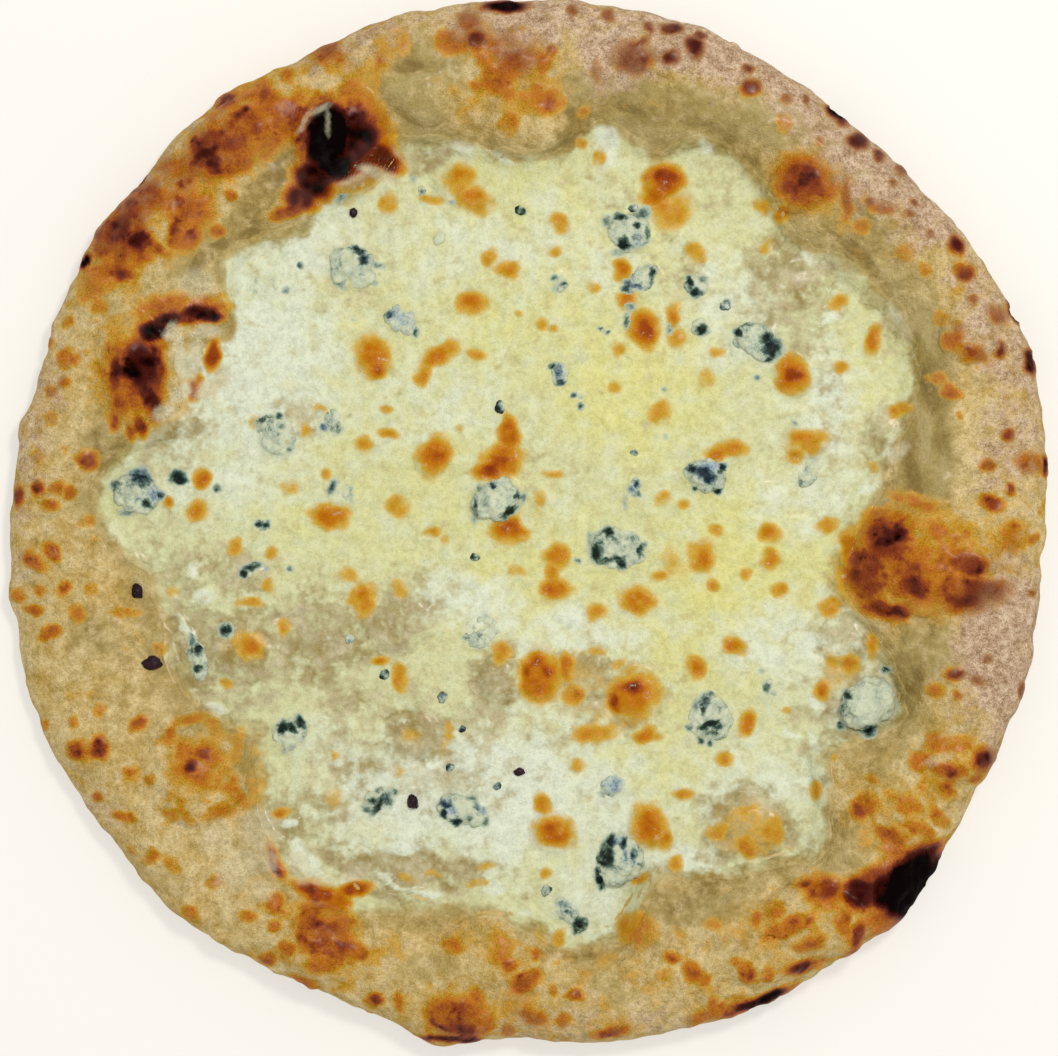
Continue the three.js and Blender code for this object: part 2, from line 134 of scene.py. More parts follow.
RIM_BROWNING: Rows = (
    # upper left
    (-86, 113, 19, 9, 38, 0.88), (-94, 112, 7, 5, 40, 0.92), (-82, 116, 8, 5, 20, 0.94),
    (-104, 100, 12, 8, 45, 0.62), (-118, 84, 10, 10, 50, 0.6), (-90, 125, 3, 0.75),
    (-76, 125, 2.5, 0.7), (-71, 133, 2.5, 0.6), (-84, 122, 4, 2, 30, 0.95), (-88, 97, 2, 0.8),
    (-99, 93, 4, 0.8), (-100, 85, 2.5, 0.8), (-92, 87, 2.5, 0.72), (-97, 105, 2.2, 0.75),
    (-110, 81, 5, 2.5, -20, 0.74), (-120, 74, 6, 2.2, 0.68), (-112, 97, 7, 4, 50, 0.86),
    (-121, 87, 5, 8, -35, 1.04), (-117, 93, 6, 5, 50, 0.9), (-115, 102, 1.6, 1.5),
    (-131.5, 78, 1.5, 2.5, -40, 1.5), (-127, 72, 8, 4, 40, 0.6), (-127, 64, 2.5, 0.6),
    (-137, 60, 2, 0.6), (-143, 54, 2, 0.7), (-102, 61.5, 13, 2.8, 12, 1.2), (-95, 61.5, 5, 2, 1.3),
    (-96, 66, 6, 2, 15, 0.72), (-108, 64, 9, 4, 20, 0.74),
    # burnt blister
    (-55, 112, 12, 14.5, -20, 0.8), (-52, 112, 10.5, 12.5, -25, 1.3),
    (-59, 114, 7.5, 10.5, -8, 1.8), (-56, 106, 8, 6, -12, 1.5), (-43, 109, 7.5, 4, -30, 1.2),
    (-63, 102, 6.5, 5.5, -20, 1.36), (-67, 97, 5.5, 4.5, 1.08), (-71, 93, 6, 2.6, 15, 0.78),
    # top
    (-6, 154, 7, 2.2, 1.45), (-17, 149, 4, 0.72), (-15, 143, 3, 1), (-14, 137, 2.2, 0.7),
    (-15, 130, 2, 0.66), (-5, 144, 3, 0.75), (5, 136, 3, 0.72), (8, 140, 2, 0.8),
    (-7, 132, 4, 0.75), (3, 129, 2, 0.75), (6, 125, 5, 4.4, 0.8), (-5, 118, 3, 0.7),
    (16, 114, 2, 0.62), (17, 122, 2, 0.6), (22, 109, 2.5, 0.66), (21, 134, 2, 3, 0.66),
    (-4, 135, 13, 12, 0.42), (43, 147, 3.4, 2.2, 1.1), (50, 141, 3.8, 3.2, -30, 1.14),
    (43, 138, 2.5, 1), (34, 142, 3, 1.5, 40, 0.95), (36, 147, 2, 0.95), (24, 151, 2, 0.8),
    (14, 153, 2, 0.8), (32, 138, 7, 5, 0.84), (-58, 138, 5, 0.42), (-40, 142, 6, 0.4),
    (-22, 142, 5, 4, 0.56),
    # top right
    (93, 122, 4, 2.5, -40, 1.4), (99, 113.5, 3.2, 1.16), (105, 109, 2.2, 2.7, 1.05),
    (112, 105, 2, 0.9), (83, 126, 1.5, 0.8), (67, 129, 3.4, 2.8, 1.06), (66, 135, 2, 0.85),
    (52, 145, 1.5, 0.9), (82, 101, 8, 9, 60, 0.95), (83, 102, 5, 4, 60, 1.12), (76, 92.5, 3, 0.7),
    (87, 113, 1.5, 0.7), (76, 119, 3, 0.62), (77, 126, 2, 0.62), (95, 95, 1.6, 6, 0.66),
    (100, 88, 2, 0.66), (106, 93, 4, 2, 0.66), (102, 95, 1.5, 0.8), (109, 101, 1.5, 0.75),
    (114, 91, 1.5, 0.7), (115, 95, 1.5, 0.75), (120, 86, 1.5, 0.8), (128, 83, 2.7, 3.2, 1.14),
    (130, 74, 3.2, 2.7, 1.0), (112, 80, 3, 0.5), (118, 75, 2, 0.6), (140, 62, 3.5, 3, 0.75),
    (146, 63, 2, 4, 20, 1.5), (132, 66, 1.5, 0.7), (126, 54, 3, 0.74), (132, 50, 4, 2.5, 0.85),
    (141, 51, 1.5, 2.5, 20, 0.95), (122, 61, 2, 0.5), (127, 58, 2, 0.6),
    # right
    (150, 48, 2, 4, 15, 1.3), (126, 39, 3, 2, 0.74), (129, 32, 1.2, 0.7), (122, 43, 3, 2, 0.55),
    (143, 26, 2.6, 2, -35, 0.92), (137, 17, 2.5, 0.66), (144, 10, 1.5, 2, 0.9),
    (138, 6, 3.5, 2.5, -30, 0.9), (150, 18, 5, 3, 0.66), (155, 17, 1.5, 3, 1.2), (151, -5, 2, 0.8),
    (150, -21, 1.6, 0.75), (137, -40, 1.8, 0.72), (127, -45.5, 3.5, 2.2, 1.08),
    (134, -47, 2.5, 2, 0.7), (121, -50, 2.5, 0.66), (128, -52, 1.5, 0.55), (148, -50, 1.5, 3, 0.8),
    # big bubble at the right
    (117, -12, 24, 16, 4, 0.52), (107, -5, 8, 1.06), (101, -15, 7, 10, 0.98),
    (130, -12, 7, 4.5, -15, 1.02), (115, -19, 7, 5, 0.98), (129, -21, 10, 6, 0.95),
    (106, -26, 8, 3, -15, 0.92), (113, -12, 9, 8, 0.78), (122, -16, 12, 7, 0.64),
    (144, -4, 5, 6, 0.62), (122, -3, 4, 0.74), (145, -1, 1.5, 0.92), (137, -20, 7, 4, 0.8),
    (116, 6, 8, 3, -20, 0.58), (105, 2, 5, 3, 30, 0.66), (97, -8, 3, 6, 0.7),
    # left
    (-137, 49, 3, 0.74), (-142, 39, 2, 0.66), (-138, 42, 2, 0.7), (-141, 31, 2.2, 0.62),
    (-146, 20, 2, 0.55), (-117, 44, 9.5, 13.5, 10, 0.8), (-114, 46, 5.4, 10, 12, 1.32),
    (-111, 57, 5, 3.4, 25, 1.35), (-112, 38, 3.4, 8, 12, 1.2), (-121, 38, 4, 6, 0.86),
    (-110, 47, 3, 11, 5, 1.02), (-123, 30, 2, 3, 0.85), (-118, 27, 2, 3, 0.82),
    (-115, 29, 2, 4, 10, 1.0), (-99.5, 40, 2.4, 4, -20, 1.0), (-94.2, 50, 2.2, 5.6, -12, 1.0),
    (-122, 60, 7, 3, 20, 0.24), (-99, 93, 7, 6, 0.76), (-101, 85, 5, 0.7), (-131, 19, 3.5, 3, 0.86),
    (-145, 10, 2.7, 0.86), (-140, 10.5, 2.2, 0.84), (-136.5, 9, 2.2, 0.8),
    (-142, 5, 3.2, 1.8, 0.84), (-152, 8, 2, 4, 1.0), (-131, 1, 2, 0.6),
    (-147, -12, 2.4, 4.4, 60, 0.86), (-141, -9, 3.4, 2, -50, 0.86), (-138, -19, 2, 0.62),
    (-145, -20, 2, 0.6), (-152, -22, 2.5, 0.6), (-147, -26, 3.2, 1.8, 0.8),
    (-142, -33, 3.2, 2.2, 0.86), (-134, -27, 3, 0.55), (-130, -20, 2, 0.55),
    (-120, -27, 5, 1.5, 0.6), (-110, -38, 2.2, 0.62),
    # lower left
    (-128, -56, 2, 0.6), (-116, -60, 2.5, 3, -30, 0.88), (-134, -67.5, 3.2, 0.95),
    (-127, -67, 3, 3.5, 0.98), (-135, -59, 2, 0.7), (-144, -61, 1.6, 0.66), (-118, -75, 3, 0.7),
    (-128, -82, 2, 0.75), (-120, -88, 4, 2, -15, 0.72), (-111, -99, 2.6, 0.7), (-118, -98, 2, 0.6),
    (-105, -102, 4, 2, -35, 0.6), (-93, -107, 2.5, 0.62), (-100, -117, 3, 2, -45, 0.6),
    (-83, -117, 3, 2, 0.7), (-75, -113, 2, 3, 0.75), (-75, -120, 2, 0.7), (-71, -126, 2, 0.74),
    (-77, -130, 2, 0.7), (-67, -137, 5, 2.5, -20, 0.75),
    (-58, -124, 7, 8, -15, 0.68), (-63, -119, 4, 5, 20, 0.8), (-55, -127, 5, 4, 0.88),
    (-57, -120, 5, 3, 0.88), (-61, -131, 4, 3, 0.76), (-99, -75, 16, 0.22),
    (-98, -72, 9, 8.5, 0.72), (-99.5, -72, 3.2, 3.6, 1.1), (-101, -59, 6, 2, 8, 0.62),
    # The crescents at (-86.5, -67) and (-87, -81) are painted shade on the big lower left blister's
    # right flank.
    (-107, -63, 4, 2, 45, 0.66), (-91, -86, 6, 3, 30, 0.64), (-86.5, -67, 2.2, 6.4, -14, 0.5),
    (-87, -81, 2.6, 6, 22, 0.6), (-103, -87, 5, 2.6, -20, 0.62), (-107, -66, 2, 0.66),
    (-112, -77, 2, 0.6), (-93, -62, 5, 2.4, -35, 0.54), (-75, -101, 2, 6, 25, 0.98),
    (-63, -110.5, 8, 2.6, -20, 1.04), (-51, -109.5, 5, 2.4, 8, 0.98), (-58, -113, 6, 3, 0.8),
    # bottom
    (-20, -147, 9, 7.5, 0.92), (-18, -151, 5, 3, 1.0), (-22, -154, 8, 1.6, 1.15),
    (-38, -143, 2, 4, 0.66), (-45, -142, 2.5, 0.6), (-50, -128, 2.2, 0.62),
    (-22, -126, 3, 2.5, 0.6), (-8, -125, 4, 5, 0.55), (-5, -131, 2, 0.66), (3, -128, 1.5, 0.74),
    (0, -136, 4.4, 2.5, 35, 0.85), (8, -139, 1.2, 2, 0.7), (14, -140, 3, 1.5, 0.72),
    (2, -147, 3.4, 2.2, 0.85), (11, -147.5, 2.5, 0.72), (-5, -151.5, 2, 0.7), (10, -124, 2, 0.5),
    (25, -152, 5, 2, 8, 0.98), (33, -121, 6, 5, 0.66), (43, -129, 3, 1.5, 0.78),
    (49, -133, 2.5, 3.5, 20, 0.78), (53, -136, 2, 0.7), (53, -147, 6, 2.4, 20, 0.72),
    (-47, -148, 2, 0.62),
    # lower right
    (116, -71, 3, 0.72), (125, -65, 8, 3, 0.46), (124, -73, 6, 2, -10, 0.85),
    (136, -70, 4, 3, 30, 1.02), (133, -76, 2, 0.75), (100, -84, 4, 0.55), (103, -76, 2, 0.56),
    (112, -83, 7, 2.6, -28, 0.64), (117, -91, 5, 2.2, -35, 0.66), (123, -88, 4, 2.2, -40, 0.66),
    (108, -93, 6, 1.6, -30, 0.72), (125, -80, 4, 2, -40, 0.56), (113, -110, 12, 15, -38, 1.12),
    (115, -108, 9.5, 13, -38, 1.8), (100, -110, 7, 6, 1.2), (106, -109, 6, 7, 1.32),
    (103, -104, 8, 3, 25, 0.96), (119, -100, 7, 2.6, 48, 1.2), (98, -122, 2.4, 5, -20, 1.1),
    (88, -109, 6.5, 4.5, -15, 0.95), (94, -119, 2.5, 5, 10, 0.85), (78, -119, 7, 2.5, 25, 0.75),
    (84, -124, 5, 2, 20, 0.75), (73, -114, 3, 0.5), (68, -117, 1.6, 0.7),
    (83, -132, 6, 2, 10, 0.78), (65, -133, 2.5, 4, 0.66), (72, -135, 1.6, 0.72), (62, -130, 2, 0.6),
    (55, -119, 2.5, 0.45), (55, -143, 2, 0.7), (70, -142.5, 10, 2.2, 20, 1.45),
    (60, -147, 4, 1.6, 15, 0.85), (97, -128, 3, 2, 35, 0.8),
)

CHEESE_BROWNING: Rows = (
    # upper part
    (-20, 103, 5, 0.62), (-16, 97, 6, 4, -20, 0.62), (-28, 97, 4, 2, 0.6), (-41, 96, 3, 4, 0.5),
    (41, 103, 6, 5, 0.98), (38.5, 98.5, 4, 0.8), (43, 94, 6.5, 5.5, 0.64),
    (10, 90, 2.5, 3.5, 30, 0.55), (8, 82, 2.5, 0.5), (20, 71, 2.4, 0.5), (51, 81, 3, 0.62),
    (29, 76, 3, 0.78), (30, 67, 3, 0.68), (35, 58, 4.6, 5.5, 15, 0.85), (44, 62, 2.5, 4, 0.66),
    (45, 55, 3, 4, 0.55), (5, 60, 2.5, 0.52), (8, 58, 2, 0.5), (-2, 63, 1.5, 0.45),
    (-11, 80, 2.8, 0.6), (-6, 76, 4.2, 2.5, -30, 0.62), (-17, 66, 4.6, 4, 0.66),
    (72, 83, 2, 3, 0.5), (71, 95, 3, 0.48), (94, 66, 3.5, 2.5, 30, 0.56),
    (104, 55, 2.6, 5, -15, 0.72), (80, 44, 4.8, 5.5, 30, 0.88), (94, 47, 2.6, 0.55),
    (57, 51, 2.4, 0.5), (54, 43, 3, 0.42), (27, 52, 2.5, 0.5),
    # right part
    (84, 25, 6.5, 4, 0.66), (81, 20, 3, 0.55), (60, 22, 6, 3, 10, 0.66), (57, 20.5, 3, 0.75),
    (110, 33, 2.5, 0.54), (113, 34, 2.5, 0.54), (73, -3, 3.2, 0.72), (73, -11, 3.2, 0.7),
    (76, -20, 2.8, 0.62), (66, -16, 2.2, 0.5), (90, -1, 3.4, 2.6, 20, 0.62), (56, -18.5, 2.2, 0.62),
    (57, -2, 2.6, 0.52), (53, -10, 4.2, 5.2, 0.7), (62, -37, 4, 3, -20, 0.66),
    (91, -25, 3.2, 2.6, 0.66), (51, -43, 3.2, 3.6, 0.68), (104, -37, 2.4, 4.4, 0.62),
    (97, -43, 3.4, 0.6), (89, -50, 3, 0.62), (92, -42, 2.4, 0.5), (104, 17, 2, 0.4),
    # middle
    (-46, 50, 5, 6.4, 20, 0.72), (-45, 46, 3.4, 0.8), (-26, 50, 7, 3, 30, 0.66),
    (-31, 44, 2.6, 3.4, 0.6), (-15, 51, 4, 2.2, -10, 0.54), (-28, 20, 4.4, 6.4, -25, 0.78),
    (-49, 23, 3, 0.6), (-42, 34, 2.4, 1.6, 0.56), (-42, 27, 3, 1.6, 0.66), (-20, 28.5, 1.8, 0.45),
    (-39, 5, 3.6, 0.46), (-28, -3, 2.5, 2, 0.55), (-24, -6, 2, 0.42), (-5, 27, 3, 5.4, 10, 0.86),
    (-7, 19, 6.4, 5, 15, 0.88), (-11, 15.5, 5, 3, 10, 0.95), (-5, -2.5, 5.6, 3.6, 0.9),
    (4, 8, 2.6, 0.45), (8, 14.5, 4, 2, -15, 0.5), (26, 40, 2.2, 0.5), (40, 33, 3.6, 0.64),
    (41, 7, 2.8, 0.5), (9, -10, 4, 3.6, 0.66), (9, -20, 5.4, 4, 0.75), (8, -15, 2.4, 3, 0.6),
    (-3, -15, 3, 2, 0.48), (33, -24, 5.4, 4.6, 0.66), (21, -27, 3.4, 0.55), (43, -11, 4, 5, 0.4),
    (40, -16, 2.4, 0.52), (28, -12.6, 1.8, 0.6), (-49, -23, 4, 5, 0.72), (-38, -20, 2.8, 0.52),
    (-54, -16, 4, 2.4, 0.5), (-8, -39, 3.4, 0.6), (-44, -42, 3, 2, 0.64),
    (-38, -47, 2.5, 4, 20, 0.66), (4, -46, 6.4, 7.8, 0.9), (12, -44, 2.6, 4.4, 0.72),
    (14, -52, 2.8, 0.66), (32, -52, 7.6, 7.4, 0.74), (32, -50, 5, 3, -15, 1.05),
    (27, -54, 2.4, 4, 0.9), (28, -42, 3, 1.6, 20, 0.5), (19, -38, 6, 1.6, 10, 0.42),
    (47, 5, 2, 0.45),
    # left part
    (-99, 3, 4, 3.6, 0.58), (-97, 13, 2.6, 3, 0.72), (-108, 6, 2.2, 0.6), (-88, -7, 2.6, 3, 0.55),
    (-77, -9, 2.6, 2, 0.55), (-77, -19, 2.2, 0.52), (-83, -24, 4, 2, 0.55),
    (-83, -37, 5, 4.6, 0.62), (-73, -32, 2, 3, 0.6), (-59, 2, 6, 3.6, -5, 0.78),
    (-60, 15, 2.2, 0.5), (-71, 11, 3, 0.4), (-66, 28, 2.2, 0.56), (-61, 34, 2.4, 1.4, 0.5),
    (-106, -21, 2.5, 0.5), (-90, -49, 2.6, 2, 0.5), (-57, -70, 2, 2.5, 0.42),
    (-58, -82, 3, 4, 0.35), (-73, -87, 3.4, 1.6, 10, 0.66), (-81, 30, 2, 0.4),
    # lower part
    (5, -85, 2.6, 4, 20, 0.62), (8, -93, 6.4, 5, -15, 0.76), (36.5, -91, 5, 6.5, 10, 0.76),
    (41, -96, 2.6, 3.2, 0.62), (44, -102, 2.6, 0.62), (47, -81.5, 3.2, 2.6, 0.6),
    (15, -72.5, 2.5, 0.45), (21, -63, 7, 3.4, 0.64), (36, -64, 4, 2.6, 0.66),
    (6, -105, 2, 2.5, 0.5), (34, -107, 3.4, 1.6, 30, 0.5), (66, -60, 2.4, 4, -15, 0.7),
    (59, -71.5, 3.2, 2.5, 0.6), (79, -56, 1.6, 0.5), (92, -71, 1.6, 0.5), (87, -80, 2.2, 3, 0.55),
    (58, -92, 4.4, 2.6, 10, 0.6), (66, -97, 3, 4.4, 15, 0.66), (66, -86, 5, 2, 0.5),
    (74, -92, 3.4, 5.4, 0.6), (-24, -64, 2, 6, 0.45), (-36, -106, 4, 1.4, -20, 0.42),
    (-28, -106, 3, 1.4, 0.42), (-15, -108, 5, 1.6, 0.4), (-11, -103, 3, 1.6, 0.4),
    (-39, -75, 2.4, 0.35), (-83, -94, 3, 0.4), (-34, -64, 4, 3, 0.34), (66, -92, 12, 9.5, 0.36),
    (-84, -36, 14, 11, 15, 0.2), (19, -46, 9, 7, 0.28), (26, -58, 14, 6, 0.28), (93, -45, 8, 0.3),
    (45, -13, 8, 5, 0.24), (20, -30, 8, 6, 0.2), (-86, -82, 5, 10, 0.3), (-104, -44, 10, 0.12),
    (62, 0, 10, 0.1), (0, 2, 8, 6, 0.25),
)

# Broad warmth of the dough: soft, large and weak.
RIM_WARMTH: Rows = (
    (-12, 133, 18, 13, 0.34), (-70, 128, 34, 18, 35, 0.42), (-116, 88, 14, 22, -35, 0.46),
    (-130, 40, 14, 18, 0.1), (-138, 5, 14, 30, 0.08), (-60, -128, 34, 18, -22, 0.3),
    (0, -140, 46, 18, 0.3), (66, -130, 34, 17, 18, 0.26), (116, -84, 20, 28, -38, 0.28),
    (124, -14, 24, 18, 0.16), (98, 92, 20, 12, -45, 0.2), (134, 54, 16, 20, 0.2),
    (150, 15, 8, 14, 0.12), (-20, 126, 16, 8, 0.25), (30, 126, 26, 6, -8, 0.16),
    (118, 42, 9, 24, 0.16), (-80, -76, 8, 14, 0.3), (100, -66, 10, 14, 0.2),
)

# Dry flour baked onto the dough, which shows pale and rosy.
FLOURED: Rows = (
    (60, 142, 44, 14, -25, 0.9), (110, 108, 34, 18, -45, 0.95), (145, 58, 18, 30, 15, 0.7),
    (146, 28, 12, 22, 0.6), (144, -40, 16, 30, 8, 0.95), (136, -52, 12, 9, 0.5),
    (-148, 30, 10, 34, -8, 0.45), (-152, -10, 10, 30, 0.3), (-50, 146, 30, 10, 15, 0.5),
    (-110, 100, 30, 12, 42, 0.45), (20, -150, 46, 10, 5, 0.35), (-132, -84, 10, 20, 40, 0.3),
    (4, 150, 34, 10, 0.8), (122, 90, 12, 0.8), (28, 138, 15, 9, 0.95), (108, -124, 18, 8, 45, 0.3),
)

# Oil that has soaked the dough, which turns it olive and darker.
# Some marks are painted shade in the rim's hollows, on its inner slopes and on blisters' shaded
# flanks.
OILED_AND_SHADED: Rows = (
    (-28, 136, 14, 9, -10, 0.95), (-75, 105, 9, 8, 0.9), (-30, 107, 8, 6, 0.9),
    (44, 122, 50, 9, -8, 0.85), (100, 78, 14, 26, 20, 0.7), (119, 42, 8, 30, 6, 0.95),
    (118, 20, 9, 20, 1.0), (108, 8, 7, 6, 0.9), (118, -38, 10, 14, 0.8),
    (-34, 122, 18, 9, -30, 0.8), (-82, 88, 26, 10, 48, 0.55), (-110, 62, 14, 8, 30, 0.5),
    (-125, 22, 8, 12, 0.7), (-116, -52, 16, 0.35), (-80, -64, 8, 12, 0.8),
    (-40, -116, 26, 7, -10, 0.55), (48, -115, 22, 9, 8, 0.7), (92, -98, 14, 10, 25, 0.6),
    (104, -66, 12, 10, 0.6), (8, -122, 16, 6, 0.45), (-128, -34, 12, 10, 0.55),
    (94, 30, 10, 20, 0.2), (-118, -2, 7, 24, 0.45), (-98, 81, 12, 8, 40, 0.75),
    # The mark at (-84, -73) is painted shade on the right flank of the big lower left blister.
    (-128, 68, 9, 8, 0.5), (-84, -73, 3.4, 10, 6, 0.85), (-20, 112, 8, 6, -30, 0.8),
    (-32, -133, 10, 6, 10, 0.45), (26, -136, 12, 6, -10, 0.5), (62, -124, 8, 5, 20, 0.5),
    (-8, -141, 6, 4, 0.4), (80, -126, 8, 4, 30, 0.5), (-92, -118, 8, 4, -40, 0.3),
    (-126, -74, 5, 9, 0.3), (-148, -34, 4, 10, 0.25),
)

# ---- How the melted cheeses differ over the pizza ----

BUTTERY: Rows = (
    (30, 42, 24, 0.75), (0, 62, 30, 18, 0.45), (36, 84, 26, 20, 0.35), (62, -14, 26, 22, 0.75),
    (44, -40, 24, 14, 0.6), (92, -18, 16, 20, 0.5), (100, 40, 14, 24, 0.35), (4, -18, 30, 22, 0.5),
    (-20, 10, 24, 0.35), (-58, 6, 24, 22, 0.3), (40, -70, 30, 14, 0.35), (0, 100, 40, 12, 0.3),
    (18, 52, 14, 10, 0.6), (-40, 60, 26, 20, 0.25),
)

MILKY: Rows = (
    (-82, 48, 26, 30, 0.85), (-70, 84, 22, 14, 30, 0.75), (-90, 18, 24, 16, 0.55),
    (90, 34, 12, 18, 0.7), (82, 8, 14, 10, 0.6), (-16, -82, 40, 18, 1.0), (-58, -72, 16, 10, 0.5),
    (12, -34, 20, 8, 0.7), (4, -60, 22, 10, 0.4), (22, -84, 18, 12, 0.7), (-10, 84, 40, 12, 0.4),
    (84, -34, 22, 14, 0.6), (20, -112, 14, 18, 0.55), (45, -103, 9, 7, 0.9),
    (70, -78, 26, 12, 0.5), (60, 62, 14, 16, 0.5),
    (98, -56, 12, 10, 0.5), (-30, 36, 22, 14, 0.35), (-16, -24, 14, 10, 0.7),
)

# Where the layer is thin and clear, and the grey dough shows through.
CLEAR: Rows = (
    (80, 74, 15, 13, 40, 0.75), (110, 22, 9, 11, 0.8), (97, -35, 10, 9, 0.75),
    (-38, -29, 14, 10, 15, 0.75), (-8, -47, 6.5, 8, 0.95), (-100, -13, 8, 9, 0.5),
    (19, -46, 9, 7, 0.75), (-84, -38, 15, 12, 15, 0.9), (-104, -14, 12, 22, 15, 0.4),
    (-104, -40, 12, 16, 20, 0.95), (66, -91, 13, 10, 1.0), (-62, -36, 15, 14, 0.8),
    (-34, -64, 11, 10, 0.9), (-52, -54, 14, 10, 0.5), (-36, -104, 30, 8, -6, 0.75),
    (-78, -92, 14, 14, 40, 0.7), (46, 74, 10, 12, 0.35), (-108, 27, 12, 9, 20, 0.7),
    (97, -58, 12, 16, 0.65), (26, -52, 16, 12, 0.5), (22, 100, 8, 0.3), (56, 100, 7, 10, 0.35),
    (92, 22, 6, 12, 0.35), (96, -75, 6, 8, 0.7), (100, -8, 6, 16, 0.35), (90, -66, 8, 16, 10, 0.4),
    (42, -108, 14, 6, -20, 0.4), (-70, 30, 8, 7, 0.55), (-60, -84, 10, 0.5), (-50, 75, 10, 8, 0.35),
    (-20, -78, 16, 10, 0.45), (-50, -72, 12, 0.55), (-86, -14, 10, 8, 0.6), (-12, -60, 9, 8, 0.6),
    (62, -103, 12, 8, 0.25), (-40, -112, 14, 4, -10, 0.6), (82, 58, 8, 10, 0.55),
    (92, 44, 5, 8, 0.4), (110, 56, 5, 8, 0.5), (76, 63, 10, 8, 0.6), (-84, -52, 10, 4, 0.6),
    (-51, -104, 6, 3, 0.9), (54, -103, 6, 3, -40, 0.5), (-30, 108, 7, 5, 20, 0.8),
    (-60, -18, 8, 6, 0.4), (-98, 50, 8, 12, 0.45), (40, 88, 6, 0.3), (10, -64, 10, 6, 0.35),
    (86, -98, 8, 10, 0.4), (-2, 14, 14, 0.25),
)

# Where a film of cheese runs out over the dough: (direction, half spread, millimetres).
FILM_SWELLS: Rows = (
    (156, 5, 8), (165, 4, 8), (141, 5, 4), (113, 5, 3), (240, 8, 3), (266, 6, 4), (322, 6, 5),
    (350, 5, 3), (4, 5, 3), (88, 6, 3), (333, 4, -4), (212, 4, -2.4), (218, 5, -1.4),
    (225, 4.5, -3.4),
)

# Folds and strands that the cheese drew up as it set, each with its height as its strength.
# Those on shiny spots, as at (-71, -90), (-76, -97) and (-54, -108), are partly painted highlight.
STRANDS: Rows = (
    (-66, -102, 8, 2.6, -60, 1.0), (-54, -108, 2, 0.9, 0.7), (-76, -97, 1.6, 0.9, 20, 0.7),
    (-71, -90, 3, 1.2, 10, 1.0), (-37.5, -97.5, 8, 1.6, -4, 0.9),
    (-26, -95, 5, 1.5, 37, 0.8), (-41.5, -107.5, 4.5, 1.1, -36, 0.8),
    (-31.5, -111, 7, 1.1, -9, 0.8), (-10, -110, 4, 2, 0.7), (0, -117, 2.5, 0.9, 0.6),
    (-13.5, 115.5, 4, 1, -60, 0.8), (-8, 110, 5, 1.3, -38, 0.9),
    (-35, 121, 8, 1.8, -30, 0.5), (-20, 112.5, 5, 3.4, -30, 0.5), (24, 114, 3.6, 7, 0.9),
    (54, 114, 2.6, 4, 0.6), (-104, 51, 1.2, 7, 10, 0.9), (-92, 56.5, 5, 2, 10, 0.7),
    (-96, 43, 3, 1.6, 60, 0.5), (-99, 70, 5, 3.2, -20, 1.0),
    (104, 12, 6, 2.4, 40, 0.7), (110, 23, 6, 2.6, 70, 0.5), (85, 79, 4, 2, -50, 0.6),
    (91, 62, 3, 2, 20, 0.6), (71, -76.5, 4.5, 1, 0.6), (84, -96, 1.4, 4, -5, 0.4),
    (79, -64, 4, 1.6, -20, 0.6), (86, -66, 1.6, 4, 20, 0.6), (86, -54, 2.4, 2.6, 0.7),
    (-100, -14, 1.8, 4, 10, 0.5), (-97, -22, 4, 2.4, 10, 0.6), (-94, -56, 4, 2, -15, 0.7),
    (-103, -31, 1.4, 4, 35, 0.7), (74, 8, 5, 2.6, 0.5), (78, -108, 12, 1.2, 0.5),
    (22, -104, 5, 1.4, 70, 0.5), (-40, 107, 5, 2, 30, 0.7), (110, 64, 1.4, 6, 20, 0.7),
)

# A pale film of cheese or dry skin that crosses dark places.
# The thin arcs on the burnt blister, at (-66, 118.5), (-61, 122) and (-58.6, 118), are partly painted
# highlight.
VEILS: Rows = (
    (-44, 104, 6, 1.8, -14, 0.8), (-51, 101.5, 5, 1.4, 20, 0.6), (-66, 118.5, 0.9, 4.2, -32, 0.5),
    (-61, 122, 3.4, 0.8, 25, 0.5), (-58.6, 118, 0.9, 4, 6, 0.42), (-38, 110, 3.4, 0.6, -40, 0.5),
    (-103.5, 51, 1.7, 8, 6, 0.8), (-99, 49, 2, 7, -10, 0.8), (-94, 41, 6, 2.6, 35, 1.0),
    (-105.5, 57, 2.6, 1.8, 50, 0.8), (-96, 57, 4.4, 1.8, 12, 0.75), (-108, 33, 4, 2, 30, 0.8),
    (-103, 39, 4.4, 1.8, 50, 0.95), (111, 21, 4, 2.2, 50, 0.55), (106, 31, 3, 5, 0.4),
    (113, 58, 2, 5, 20, 0.4), (-68, -103, 3, 5, 35, 0.6), (-61, -107, 4, 1.4, -20, 0.5),
    (-80, -92, 7, 5, -40, 0.5), (-77, -101, 3, 4, 20, 0.5), (-54, -106.5, 3.4, 1.2, 10, 0.6),
    (-98, 71, 5, 4, 0.55), (-86, -103, 5, 8, -40, 0.5), (-92, -94, 4, 5, 0.4),
    (-79, -110, 4, 3, 0.35), (127, -62, 5, 1.2, 20, 0.3), (122, -70, 5, 1.4, 20, 0.35),
)

